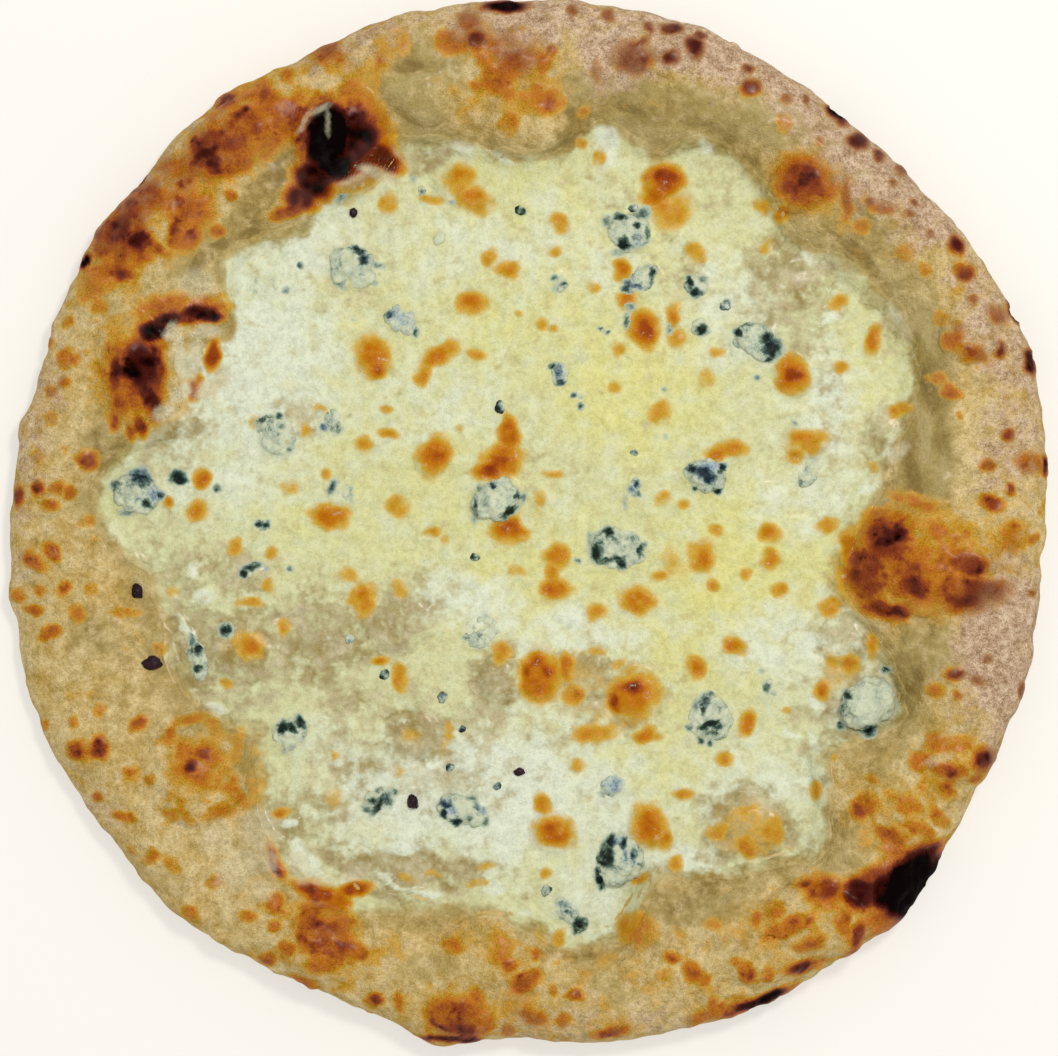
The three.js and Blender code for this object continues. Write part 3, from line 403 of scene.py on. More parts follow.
# Blue mould, in the crumbles and smeared beside them. A seventh value is how blue the mark is,
# and marks without one are green.
MOULD: Rows = (
    (34.5, 92.5, 2.4, 1.8, 20, 0.55, 0.2), (-42, -83, 2, 2.4, 0, 0.5, 0.2),
    (33, 85, 1.6, 3, 0, 0.4, 0.4), (-9.8, 11.1, 0.9, 0.9, 0, 0.85, 0.6),
    (-15.2, 5, 0.7, 3.2, 5, 0.65), (-14.2, 10, 0.7, 1.6, -30, 0.5), (-2.4, 8, 1.3, 1, 0, 0.65, 0.1),
    (-0.9, 7.2, 0.7, 1.4, 0.6), (-5.2, 3.3, 2.6, 1.1, 35, 1), (-5.5, 10, 1.8, 0.5, -30, 0.35),
    (-15.6, 1, 0.8, 1.8, 0.45), (24.5, -3, 1.5, 1), (25.8, -5, 1.8, 0.7, -35, 0.9),
    (21.2, -8.3, 1.7, 3.2, 1), (19, -6, 0.7, 3.4, 0.45), (22.6, -3, 3, 0.7, 20, 0.5),
    (24.4, -11.4, 2, 0.8, 10, 0.9), (27.2, -10.8, 2, 0.7, 10, 0.8), (28.6, -12.4, 1.5, 0.95),
    (34, -8.4, 0.9, 1.7, -15, 0.8), (35.4, -6.8, 0.9, 0.5), (-52.4, 82.5, 0.8, 0.6, 0.8),
    (-50.4, 81.5, 1.7, 1.1, -10, 0.9, 0.2), (-48.8, 79, 1.5, 1.3, -45, 0.9, 0.6),
    (-45, 77.2, 1.6, 0.8, -15, 0.7, 0.1), (-58.5, 75.7, 1, 0.5, 0.4), (-56, 71.3, 2, 1, -30, 0.4),
    (-49.4, 74.5, 0.8, 0.7, 0, 0.5, 0.3), (-45.7, 72, 0.8, 0.6, 0.35), (-56, 81.8, 1.6, 0.6, 0.4),
    (-116.2, 14, 2.7, 2.2, 0, 0.75, 0.8), (-115.5, 13, 2.6, 2, -20, 0.95, 0.4),
    (-123.3, 11.2, 1.6, 1.5, 0, 0.7, 0.1), (-111.5, 8.5, 2, 2, 0, 0.45, 0.9),
    (-110, 8.2, 1, 1.2, 0.75), (-116.5, 7, 0.9, 1, 0, 0.5, 0.5),
    (-113.8, 5.6, 1.4, 1.1, 0, 0.8, 0.2), (-120.3, 3, 2.2, 0.9, 15, 0.5, 0.1), (72, 55, 2, 0.95),
    (73.5, 52.5, 2.5, 2.7, -30, 1, 0.2), (63.6, 56.9, 1.3, 0.9), (65.5, 58.5, 2, 0.7, 15, 0.6),
    (72.5, 49, 1.6, 0.9, 0.6), (61.5, 52, 0.5, 3, 10, 0.3), (53, 15.1, 2.8, 2, -15, 0.8, 1),
    (54.6, 13.5, 2.1, 1.5, -30, 0.95, 0.8), (49.6, 16, 1.3, 1.1, 0, 0.9, 0.4),
    (58.6, 16.5, 1.3, 1.1, 30, 0.8, 0.3), (57.8, 15, 0.9, 0.9, 0, 0.6, 0.2),
    (50.6, 10.2, 0.9, 1, 0.8), (57, 10.1, 1.5, 1.1, 0, 0.9, 0.1), (55.6, 17, 3, 1.6, 0, 0.3, 1),
    (53.3, -53.5, 1.6, 2, -30, 0.6, 0.3), (55.5, -51.6, 1.1, 0.6, 0.8),
    (53.1, -55.8, 0.8, 1.7, 0, 0.85, 0.1), (51, -55, 1.2, 2, -20, 0.4, 0.3),
    (54.7, -60.6, 2.6, 0.8, 20, 1), (53.2, -61.5, 1.3, 1, 0.8), (57, -61, 2, 1, 10, 0.6),
    (55.5, -63, 2.6, 1.1, 0.5), (52.2, -65.3, 0.9, 0.8, 0.8), (55, -66, 0.9, 0.8),
    (48.7, -61.5, 0.9, 0.9, 0, 0.6, 0.2), (102.5, -62, 2.1, 1.9, 0, 0.75, 0.2), (94.2, -61, 1, 0.9),
    (96.2, -51.8, 1, 1.3, -20, 0.9), (95, -55.5, 0.7, 1.7, -15, 0.7), (110.8, -54.5, 0.6, 2, 0.4),
    (107.8, -44.2, 1.3, 1, 0.85), (24, -100, 2, 3.2, 1),
    (25.5, -95.5, 1.5, 1), (28.8, -95.9, 1, 1.2, 0, 0.95, 0.2), (27, -95.5, 1.6, 1.1, 0, 0.5, 0.8),
    (23.5, -102, 1.6, 1.1, 1), (21.5, -104.5, 0.9, 1.1, 0.8), (21.7, -107, 1.1, 1.7, 10, 1),
    (22.5, -109.5, 0.9, 0.9), (29.6, -99.9, 0.7, 1.9, 0, 0.6, 0.8),
    (32, -100, 0.9, 2.1, 0, 0.75, 0.5), (34, -102.5, 2, 0.7, -30, 0.5),
    (-79.5, 30.5, 1.8, 0.7, 15, 0.75), (-77, 31.6, 1.6, 0.5, 15, 0.55),
    (-74.1, 31.6, 1.1, 1.1, 0, 0.8, 0.2), (-73.5, 29, 1.3, 0.4), (-80.5, 27, 0.5, 2.6, 15, 0.4),
    (-79, 23, 0.8, 1.6, 30, 0.35), (-71.2, 22, 0.9, 1.1, -20, 0.6), (-70, 25, 0.5, 2.6, 0.4),
    (-75, 20.5, 2.6, 0.5, 0.4), (28.2, 91.7, 1.7, 1, -10, 0.95, 0.1), (33, 89.2, 1.1, 0.9, 0.9),
    (29, 83.8, 1.3, 1.8, 1), (29.8, 83, 1.6, 1.1, 0.8), (36, 87, 0.7, 2.3, 0.55),
    (34.4, 83.2, 2, 0.6, 30, 0.5), (24.5, 90, 2, 1.7, 0.4), (27.5, 81, 2.6, 1.1, 0.3),
    (30.7, 71.5, 1.7, 1.1, -30, 0.7, 0.9), (30, 70, 1.3, 1, 0, 1, 0.2),
    (32.5, 70.8, 2, 0.7, -20, 0.65, 0.8), (37.8, 74.6, 0.8, 1.7, -15, 0.95),
    (37.3, 72.5, 0.6, 1.1, 0.7), (35.5, 76.5, 1.6, 0.7, 20, 0.4), (-72.2, -61, 2.3, 1.3, 10, 1),
    (-73.6, -62.4, 1, 1.3, 0.9), (-70, -62, 1.3, 1.1, -40, 1), (-67.9, -59.8, 1.2, 2, 30, 0.95),
    (-72.9, -68, 0.6, 1.3, 0.55), (-24.2, -84.3, 1.7, 1.3, 0, 0.7, 0.8),
    (-24.6, -87.3, 1.3, 1.2, 0, 0.95, 0.3), (-22, -86.2, 1.7, 1.9, -30, 0.35, 1),
    (-20.6, -89.5, 1.7, 1.2, 0, 0.95, 0.3), (-16.2, -82.7, 1.3, 0.9, -15, 0.7),
    (-14.8, -85.5, 0.9, 1.7, 20, 0.7, 0.3), (-13, -86.5, 1.1, 1.3, 0, 0.4, 0.8),
    (-12.4, -89.5, 1.1, 1.5, 0, 0.5, 0.2), (-17.2, -88.5, 1.3, 0.9, 0.5),
    (-37.5, 61, 4, 3, -30, 0.22, 0.8), (-41.3, 62.2, 1, 1.3, -20, 0.65), (-33.3, 57, 0.7, 0.9, 0.9),
    (-72, 69.5, 1.1, 0.9, 30, 0.6, 0.4), (-68, 77.2, 0.7, 0.7, 0, 0.6, 0.4),
    (-81.6, 69.2, 0.8, 0.6, 0.3), (-60.8, 28.5, 1.2, 1.2, 0, 0.5, 0.9),
    (-56.5, 27.5, 1.3, 0.6, 40, 0.5, 0.1), (-104.9, 13.8, 2.1, 1.9, 0, 0.95, 0.1),
    (-103.7, 12.6, 1.7, 1, 0.9), (-58.6, 10.3, 0.9, 2.3, -20, 0.6, 0.2),
    (-57.5, 12, 1.1, 0.6, 0, 0.5, 0.2), (-52.6, 8.5, 0.5, 3, 0.35),
    (49, 72.2, 0.8, 1.9, 15, 1, 0.1), (50.6, 69.2, 1.5, 1.4, -30, 0.85, 0.2),
    (52.5, 73, 2, 1, -10, 0.4), (52.7, 57.7, 1.6, 1.3, 20, 0.95), (7.8, 46.9, 0.7, 0.95),
    (10.4, 42.1, 1.3, 1, 1), (9.8, 45.1, 1.2, 2.4, 0, 0.5, 0.9), (14.2, 38.2, 0.7, 0.7),
    (16.2, 34.8, 0.9, 0.8), (16, 37.5, 0.7, 0.6, 0.4), (33, 11.2, 0.8, 1.1, 0, 0.9, 0.5),
    (31.5, 10, 1.3, 1.1, 0, 0.5, 0.9), (33.3, 8.7, 0.8, 0.7, 0, 0.9, 0.1),
    (29.7, 5.6, 0.5, 1.8, 0.5), (84, 15.7, 0.7, 1, 0, 0.4, 0.3),
    (82.5, 11.8, 0.9, 0.8, 0, 0.5, 0.2), (86.8, 18.7, 1.6, 0.8, 30, 0.25, 0.8),
    (-84.8, -15.5, 1.1, 1.2, -20, 1), (-83, -13.3, 2.3, 0.9, 20, 0.8),
    (-80.5, -12.7, 1.1, 0.9, 0.6), (-78, -13.7, 1.1, 1, 0, 0.35, 0.8),
    (-90.3, -32.2, 1.5, 1.9, -35, 0.95, 0.1), (-98.6, -38.2, 1, 1.7, 20, 1),
    (-100.5, -37, 0.7, 2.6, 0.65), (-98.7, -43.8, 1.3, 1.1, 0.95), (-44.4, -84.7, 1, 3, -30, 1),
    (-45.6, -83.5, 1.6, 1.3, 0.7), (-44.4, -80.5, 1.1, 0.6), (-48, -86.1, 1.3, 1.1, 0.6),
    (-39.5, -81, 0.9, 0.8, 0.75), (-17.8, -34.3, 1.3, 0.5, 0, 0.5, 0.1),
    (-14.5, -34.2, 0.8, 0.8, 0, 0.45, 0.2), (-14.6, -36.7, 0.7, 0.7, 0, 0.4, 0.8),
    (-12.6, -27.4, 0.5, 0.9, 0.4), (72, -49.8, 0.8, 1.5, 0.6), (70.6, -44.6, 0.9, 0.7, 0.4),
    (26.2, -78.7, 2.5, 2.3, 0, 0.45, 1), (22.8, -81.3, 0.9, 1, 0.4),
    (11, -114.5, 2.3, 1.5, -30, 0.4, 0.4), (12.4, -116.9, 1.4, 0.6, 0, 0.8, 0.3),
    (15.8, -120.3, 2, 1.8, -20, 0.9), (15.2, -122.5, 1.1, 0.8),
    (-80.2, -0.4, 1.1, 0.8, 0, 0.95, 0.2), (-77.8, -0.8, 0.9, 1.1, -20, 0.8, 0.3),
    (8.6, 73.3, 1.3, 0.9, 0.5), (10.9, 71.5, 1, 1.1, 0.55), (8.9, 70.3, 1.3, 1.1, 0.35),
    (22, 58, 0.6, 0.8), (24, 57, 0.6, 0.8), (43, 58, 0.7, 1.2, 0.7), (30, 60.5, 0.8, 2.2, 0.9),
    (31, 64.5, 1.5, 1, 0, 0.5, 0.1), (60, 66, 1.2, 1.2, 0, 0.7, 0.1), (-71, -14, 0.8, 0.7),
    (-93, 10, 1, 0.7), (15.5, -11.4, 0.9, 0.8, 0.6), (69, 43.3, 0.8, 0.7, 0, 0.6, 0.3),
    (80.5, 30, 0.7, 0.9, 0, 0.5, 0.3), (41.5, 39.8, 0.7, 0.5),
    (-52, 61, 0.5, 0.3), (41.5, 25.5, 0.5, 0.3), (-22.5, 96, 1, 0.6, 0, 0.4, 0.3),
    (-34, 103, 0.6, 1, 0, 0.5, 0.3), (-55.5, 97, 1.4, 0.7, 40, 0.5, 0.2),
)

# Crumbs too small to lift off: (x, y, width, mould). Pepper has no mould.
BLUE_CRUMBS: Rows = (
    (-2, 93.6, 3.6, 0.85), (-31.5, 99.5, 3, 0.5), (-26, 85.5, 4, 0.05), (-8, 34.6, 4, 0.8),
    (59.5, 65, 3.4, 0.6), (32, 94.5, 3.4, 0.6), (32.4, 21, 2.4, 0.55), (-15.5, -10.5, 3, 0.65),
    (-25.4, -52.6, 3.4, 0.75), (-42.5, -45.6, 3.6, 0.7), (-23, -73.6, 3, 0.75),
    (-19.3, -62, 2.4, 0.7), (-8.6, -79, 2.6, 0.55), (6, -110.4, 3.6, 0.45), (-53, -35, 3, 0.3),
)
PEPPER_ON_CHEESE: Rows = ((-34, -84, 4.4), (-2.2, -74.8, 3.2), (-52, 93, 2.8))
PEPPER_ON_DOUGH: Rows = ((-116.4, -20.8, 4.6), (-112, -42, 5.6))

# ---- Small helpers ----


def linear(colour: RGB) -> tuple[float, float, float, float]:
    """A colour seen as red, green and blue from 0 to 255, as the linear values of a shader."""

    def channel(value: int) -> float:
        """One channel's linear value."""
        share = value / 255
        return share / 12.92 if share <= 0.04045 else ((share + 0.055) / 1.055) ** 2.4

    red, green, blue = (channel(value) for value in colour)
    return (red, green, blue, 1.0)


def seen(colour: RGB) -> tuple[float, float, float, float]:
    """The finish that shows as a colour, from 0 to 255, under the studio's light."""
    red, green, blue = (max(value - SHEEN, 0) / LIGHT for value in linear(colour)[:3])
    return (red, green, blue, 1.0)


def smooth_step(low: float, high: float, value: Array) -> Array:
    """A smooth rise from 0 at low to 1 at high."""
    share = np.clip((value - low) / (high - low), 0, 1)
    return share * share * (3 - 2 * share)


def smooth_most(first: Array, second: Array, blend: float) -> Array:
    """The larger of two heights, rounded where they cross within the blend's height."""
    near = np.maximum(blend - np.abs(first - second), 0) / blend
    return np.maximum(first, second) + near * near * blend / 4


CORNERS = np.array([(i, j, k) for i in (0, 1) for j in (0, 1) for k in (0, 1)])
# The large numbers that mix a cell's place and its seed into a pattern.
MIXERS = (73856093, 19349663, 83492791)
SEED_MIXER = 40503
LAST_MIXER = 1274126177
# How far each seed shifts its pattern's cells, how far apart the seeds are that push places
# along +X and along +Y, and how many octaves push them.
SEED_SHIFT = 0.37
AXIS_SEEDS = 5
PUSH_OCTAVES = 2


def lattice(cells: Array, seed: int) -> Array:
    """A repeatable value from -1 to 1 at whole-number places.

    Args:
        cells: whole-number places, one row of three each.
        seed: picks one pattern out of many.
    """
    mixed = np.bitwise_xor.reduce(cells * MIXERS, axis=1) ^ seed * SEED_MIXER
    mixed = (mixed ^ (mixed >> 13)) * LAST_MIXER
    mixed = mixed ^ (mixed >> 16)
    return (mixed & 0xFFFF) / (0xFFFF / 2) - 1


def noise(points: Array, size: float, seed: int, octaves: int = 1) -> Array:
    """Smooth, repeatable unevenness between about -1 and 1.

    Args:
        points: places in millimetres, one row of three each.
        size: width of the largest lumps in millimetres.
        seed: picks one pattern out of many.
        octaves: how many times finer and weaker lumps are added.
    """
    total = np.zeros(len(points))
    for octave in range(octaves):
        scaled = points / (size * 0.5**octave) + SEED_SHIFT * seed
        cells = np.floor(scaled).astype(np.int64)
        share = scaled - cells
        share = share * share * (3 - 2 * share)
        for corner in CORNERS:
            weight = np.prod(np.where(corner == 1, share, 1 - share), axis=1)
            total += weight * lattice(cells + corner, seed + octave) * 0.5**octave
    return total


class Layer(NamedTuple):
    """Unevenness of one size: its strength, the width of its lumps, its pattern and its octaves."""

    strength: float
    size: float
    seed: int
    octaves: int = 1


Layers = tuple[Layer, ...]


def uneven(points: Array, *layers: Layer) -> Array:
    """Adds up layers of unevenness at each point."""
    total = np.zeros(len(points))
    for layer in layers:
        total += layer.strength * noise(points, layer.size, layer.seed, layer.octaves)
    return total


def warped(points: Array, push: Layer) -> Array:
    """Places pushed about, so that what is drawn with them has uneven edges."""
    pushed = points.copy()
    for axis in (0, 1):
        sideways = Layer(push.strength, push.size, push.seed + AXIS_SEEDS * axis, PUSH_OCTAVES)
        pushed[:, axis] += uneven(points, sideways)
    return pushed


class Spot(NamedTuple):
    """A soft oval mark: its middle, half sizes, turn in degrees and strength."""

    x: float
    y: float
    length: float
    width: float
    turn: float
    strength: float

    @classmethod
    def read(cls, row: tuple[float, ...]) -> "Spot":
        """Reads a row, which leaves out a turn of 0 and the width of a round mark."""
        if len(row) == 4:
            x, y, radius, strength = row
            return cls(x, y, radius, radius, 0, strength)
        if len(row) == 5:
            return cls(*row[:4], 0, row[4])
        return cls(*row[:6])

    def near(self, points: Array, margin: float) -> Array:
        """The numbers of the points that the mark, with a margin, may reach."""
        reach = max(self.length, self.width) + margin
        close = (np.abs(points[:, 0] - self.x) < reach) & (np.abs(points[:, 1] - self.y) < reach)
        return np.flatnonzero(close)

    def share(self, points: Array) -> Array:
        """How far out each point lies: 0 in the middle, 1 at the edge."""
        cos, sin = math.cos(math.radians(self.turn)), math.sin(math.radians(self.turn))
        east, north = points[:, 0] - self.x, points[:, 1] - self.y
        along, across = east * cos + north * sin, north * cos - east * sin
        return np.hypot(along / self.length, across / self.width)


def marks(points: Array, rows: Rows, least_band: float, band_share: float) -> Array:
    """The strongest of the soft oval marks at each point.

    Args:
        points: places in millimetres.
        rows: the marks, as Spot.read takes them.
        least_band: half width of the soft edge of the smallest marks.
        band_share: half width of the soft edge, as a share of the mark's smaller half size.
    """
    strongest = np.zeros(len(points))
    for spot in map(Spot.read, rows):
        least = min(spot.length, spot.width)
        band = max(least_band, band_share * least)
        near = spot.near(points, 2 * band)
        inside = (1 - spot.share(points[near])) * least
        strength = spot.strength * smooth_step(-band, band, inside)
        strongest[near] = np.maximum(strongest[near], strength)
    return strongest


@dataclass(frozen=True)
class Patches:
    """Marks whose edges a layer of unevenness pushes about, drawn as marks() does."""

    rows: Rows
    push: Layer
    least_band: float
    band_share: float

    def at(self, points: Array) -> Array:
        """The strongest of the marks at each point."""
        return marks(warped(points, self.push), self.rows, self.least_band, self.band_share)


# A blister's roundness, and how softly its foot runs out.
BLISTER_POWER = 0.75
BLISTER_FOOT = 0.06


def blisters(points: Array, rows: Rows) -> Array:
    """Height of the blisters that stand on a surface, rounded as in the solids."""
    highest = np.zeros(len(points))
    for spot in map(Spot.read, rows):
        near = spot.near(points, 0)
        inside = np.maximum(1 - spot.share(points[near]) ** 2, 0)
        rounded = spot.strength * inside**BLISTER_POWER * (1 - np.exp(-inside / BLISTER_FOOT))
        highest[near] = np.maximum(highest[near], rounded)
    return highest


def wave(x: Array, y: Array) -> Array:
    """The gentle unevenness that the solids have too."""
    broad = np.sin(0.071 * x + 0.043 * y + 1.3) * np.sin(0.052 * y - 0.031 * x + 0.4)
    return 0.5 * broad + 0.3 * np.sin(0.137 * x - 0.094 * y + 2.1) + 0.2 * np.sin(0.19 * x + 0.21 * y)


def swell(rows: Rows, degrees: Array) -> Array:
    """Adds up swells written as (direction, half spread, amount)."""
    total = np.zeros_like(degrees)
    for at, spread, amount in rows:
        away = (degrees - at + 540) % 360 - 180
        total += amount * np.exp(-((away / spread) ** 2))
    return total


def closed_curve(rows: Rows, degrees: Array) -> Array:
    """A smooth closed curve through (direction, radius) points, read at many directions."""
    at, radius = np.array(rows, float).T
    count = len(at)
    turn = degrees % 360
    following = np.searchsorted(at, turn, side="right") % count
    before, start, end, after = (radius[(following + k) % count] for k in (-2, -1, 0, 1))
    begin = at[(following - 1) % count]
    share = ((turn - begin) % 360) / ((at[following] - begin) % 360)
    rise, fall, step = (end - before) / 2, (after - start) / 2, end - start
    inner = 3 * step - 2 * rise - fall + share * (rise + fall - 2 * step)
    return start + share * (rise + share * inner)


def join_rings(rings: list[Array]) -> tuple[Array, Array]:
    """Joins rings of points into one closed skin, with a middle point at both ends.

    Args:
        rings: each has as many points as the one before it, half as many or twice as many.

    Returns:
        The points and the triangles.
    """
    starts = np.cumsum([0] + [len(ring) for ring in rings])
    first_middle, last_middle = starts[-1], starts[-1] + 1
    faces = []
    for ring in range(len(rings) - 1):
        low, high = len(rings[ring]), len(rings[ring + 1])
        k = np.arange(min(low, high))
        if low == high:
            a, b = starts[ring] + k, starts[ring] + (k + 1) % low
            d, c = starts[ring + 1] + k, starts[ring + 1] + (k + 1) % high
            faces += [(a, b, c), (a, c, d)]
        elif low == 2 * high:
            a, m, b = (starts[ring] + (2 * k + step) % low for step in (0, 1, 2))
            d, c = starts[ring + 1] + k, starts[ring + 1] + (k + 1) % high
            faces += [(a, m, d), (m, c, d), (m, b, c)]
        else:
            a, b = starts[ring] + k, starts[ring] + (k + 1) % low
            d, m, c = (starts[ring + 1] + (2 * k + step) % high for step in (0, 1, 2))
            faces += [(a, m, d), (a, b, m), (b, c, m)]
    k = np.arange(len(rings[0]))
    faces.append((np.full_like(k, first_middle), (k + 1) % len(k), k))
    k = np.arange(len(rings[-1]))
    faces.append((starts[-2] + k, starts[-2] + (k + 1) % len(k), np.full_like(k, last_middle)))
    middles = [rings[0].mean(axis=0), rings[-1].mean(axis=0)]
    points = np.vstack([*rings, *middles])
    return points, np.vstack([np.column_stack(face) for face in faces])


class Field(Enum):
    """What a mesh tells its material at each point."""

    BROWNING = "browning"
    FLOUR = "flour"
    # Oil soak, together with the painted shade among the oil marks.
    OIL = "oil"
    BUTTER = "butter"
    MILK = "milk"
    CLEAR = "clear"
    EDGE = "edge"
    BARE = "bare"
    # The folds' pattern, from which the materials paint highlight on the ridges and shade in the
    # hollows.
    FOLD = "fold_shading"
    VEIL = "veil"
    MOULD = "mould"
    BLUENESS = "blueness"


class Finish(Enum):
    """Names of material slots."""

    CRUST = "crust"
    CHEESE = "melted_cheese"
    BLUE_CHEESE = "blue_cheese"


Fields = dict[Field, Array]


def make_piece(
    name: str,
    points: Array,
    faces: Array | list,
    fields: Fields,
    material: Material,
    nodes: Sequence[str] = (),
) -> bpy.types.Object:
    """Makes one smooth piece of the pizza, which rides on its body.

    Args:
        name: the piece's name.
        points: vertices in millimetres.
        faces: vertex numbers of each face.
        fields: values at each vertex for the material.
        material: the piece's material.
        nodes: the solids that it stands for.
    """
    mesh = bpy.data.meshes.new(name)
    mesh.from_pydata((points * MM).tolist(), [], faces if isinstance(faces, list) else faces.tolist())
    mesh.shade_smooth()
    for field_name, values in fields.items():
        attribute = mesh.attributes.new(field_name.value, "FLOAT", "POINT")
        attribute.data.foreach_set("value", values.astype(np.float32))
    mesh.materials.append(material)
    piece = bpy.data.objects.new(name, mesh)
    bpy.context.scene.collection.objects.link(piece)
    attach(piece, "root")
    if nodes:
        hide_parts(*nodes)
    log.info("%s: %d points, %d faces", name, len(points), len(mesh.polygons))
    return piece


# ---- The pizza's form ----


class Rim(NamedTuple):
    """The rim's measures at each direction, in millimetres."""

    outer: Array
    half: Array
    crest: Array
    edge: Array
    foot: Array


@dataclass(frozen=True)
class PizzaForm:
    """The main form, from the solids' own sizes, and the oven's marks on it, with some painted shade.
    """

    spokes: int = 960
    seep: float = 10.0
    seep_edge: Layer = Layer(4, 11, 28, 2)
    fold_length: float = 34.0
    fold_push: Layer = Layer(3, 12, 18)
    fold_waves: Layer = Layer(1, 4.2, 19, 2)
    spots: Patches = Patches(RIM_BROWNING, Layer(0.9, 4, 21), 0.9, 0.6)
    spot_mottle: Layer = Layer(0.14, 3.2, 22, 2)
    warmth: Patches = Patches(RIM_WARMTH, Layer(3, 9, 27), 8, 0.9)
    warmth_mottle: Layer = Layer(1.5, 7, 23, 3)
    floured: Patches = Patches(FLOURED, Layer(5, 14, 25), 6, 0.7)
    oiled_and_shaded: Patches = Patches(OILED_AND_SHADED, Layer(3, 9, 26), 3, 0.6)
    veils: Patches = Patches(VEILS, Layer(0.9, 3.4, 29), 0.45, 0.4)

    @property
    def degrees(self) -> Array:
        """The direction of each spoke."""
        return np.arange(self.spokes) * 360 / self.spokes

    def rim(self, degrees: Array) -> Rim:
        """The rim's measures at some directions."""
        outer = RIM_RADIUS + swell(EDGE_SWELLS, degrees)
        edge = closed_curve(CHEESE_OUTLINE, degrees)
        half = np.clip((outer - edge) * OUTER_HALF_SHARE, OUTER_HALF_LEAST, OUTER_HALF_MOST)
        return Rim(outer, half, RIM_HEIGHT + swell(CREST_SWELLS, degrees), edge, edge - CHEESE_LAP)

    def slope(self, rim: Rim, radius: Array) -> Array:
        """Height of the rim's inner slope between its crest and its foot."""
        top = rim.outer - rim.half
        share = np.clip((top - radius) / (top - rim.foot), 0, 1)
        return BASE_THICKNESS + (rim.crest - BASE_THICKNESS) * (1 - share**SLOPE_POWER)

    def browning(self, points: Array) -> Array:
        """Browning of the rim, the same on the dough and on the cheese that laps onto it."""
        flat = points * FLAT
        spots = self.spots.at(flat) * (1 + uneven(flat, self.spot_mottle))
        broken = np.clip(0.8 + uneven(flat, self.warmth_mottle), 0, 1.6)
        return spots + self.warmth.at(flat) * (broken * smooth_step(0.9, 0.3, spots))

    def flour(self, points: Array) -> Array:
        """How floured the dough is at each point."""
        return self.floured.at(points * FLAT) * (1 - 0.8 * self.seeped(points))

    def oil(self, points: Array) -> Array:
        """How oily the dough is at each point, with the painted shade among the oil marks."""
        return np.maximum(self.oiled_and_shaded.at(points * FLAT), 0.6 * self.seeped(points))

    def seeped(self, points: Array) -> Array:
        """How much oil seeped from the melted cheese into the dough beside it."""
        return smooth_step(self.seep, 0, self.beyond(points) + uneven(points * FLAT, self.seep_edge))

    def folds(self, points: Array) -> Array:
        """Folds that run along the melted cheese's edge, from -1 to 1."""
        radius = np.hypot(points[:, 0], points[:, 1])
        pushed = radius + uneven(points * FLAT, self.fold_push)
        around = points[:, :2] / np.maximum(radius, 1)[:, None] * self.fold_length
        return uneven(np.column_stack([pushed, around]), self.fold_waves)

    def veil(self, points: Array) -> Array:
        """How pale a film is at each point, with partly painted highlight on the burnt blister."""
        return self.veils.at(points * FLAT)

    def beyond(self, points: Array) -> Array:
        """How far each point lies outside the melted cheese's outline."""
        degrees = np.degrees(np.arctan2(points[:, 1], points[:, 0]))
        return np.hypot(points[:, 0], points[:, 1]) - closed_curve(CHEESE_OUTLINE, degrees)

    def melt(self, x: Array, y: Array) -> Array:
        """Height of the melted surface clear of the rim."""
        points = np.column_stack([x, y])
        level = BASE_THICKNESS + GAP + CHEESE_THICKNESS
        return level + CHEESE_WAVE * wave(x, y) + blisters(points, CHEESE_BLISTERS)


def surface_normals(grid: Array) -> Array:
    """The outward direction at each point of a grid of [ring, spoke] points."""
    along = np.gradient(grid, axis=0)
    around = np.roll(grid, -1, axis=1) - np.roll(grid, 1, axis=1)
    normals = np.cross(around, along)
    return normals / np.linalg.norm(normals, axis=2, keepdims=True)


# ---- Shader helpers ----

Value = float | Socket


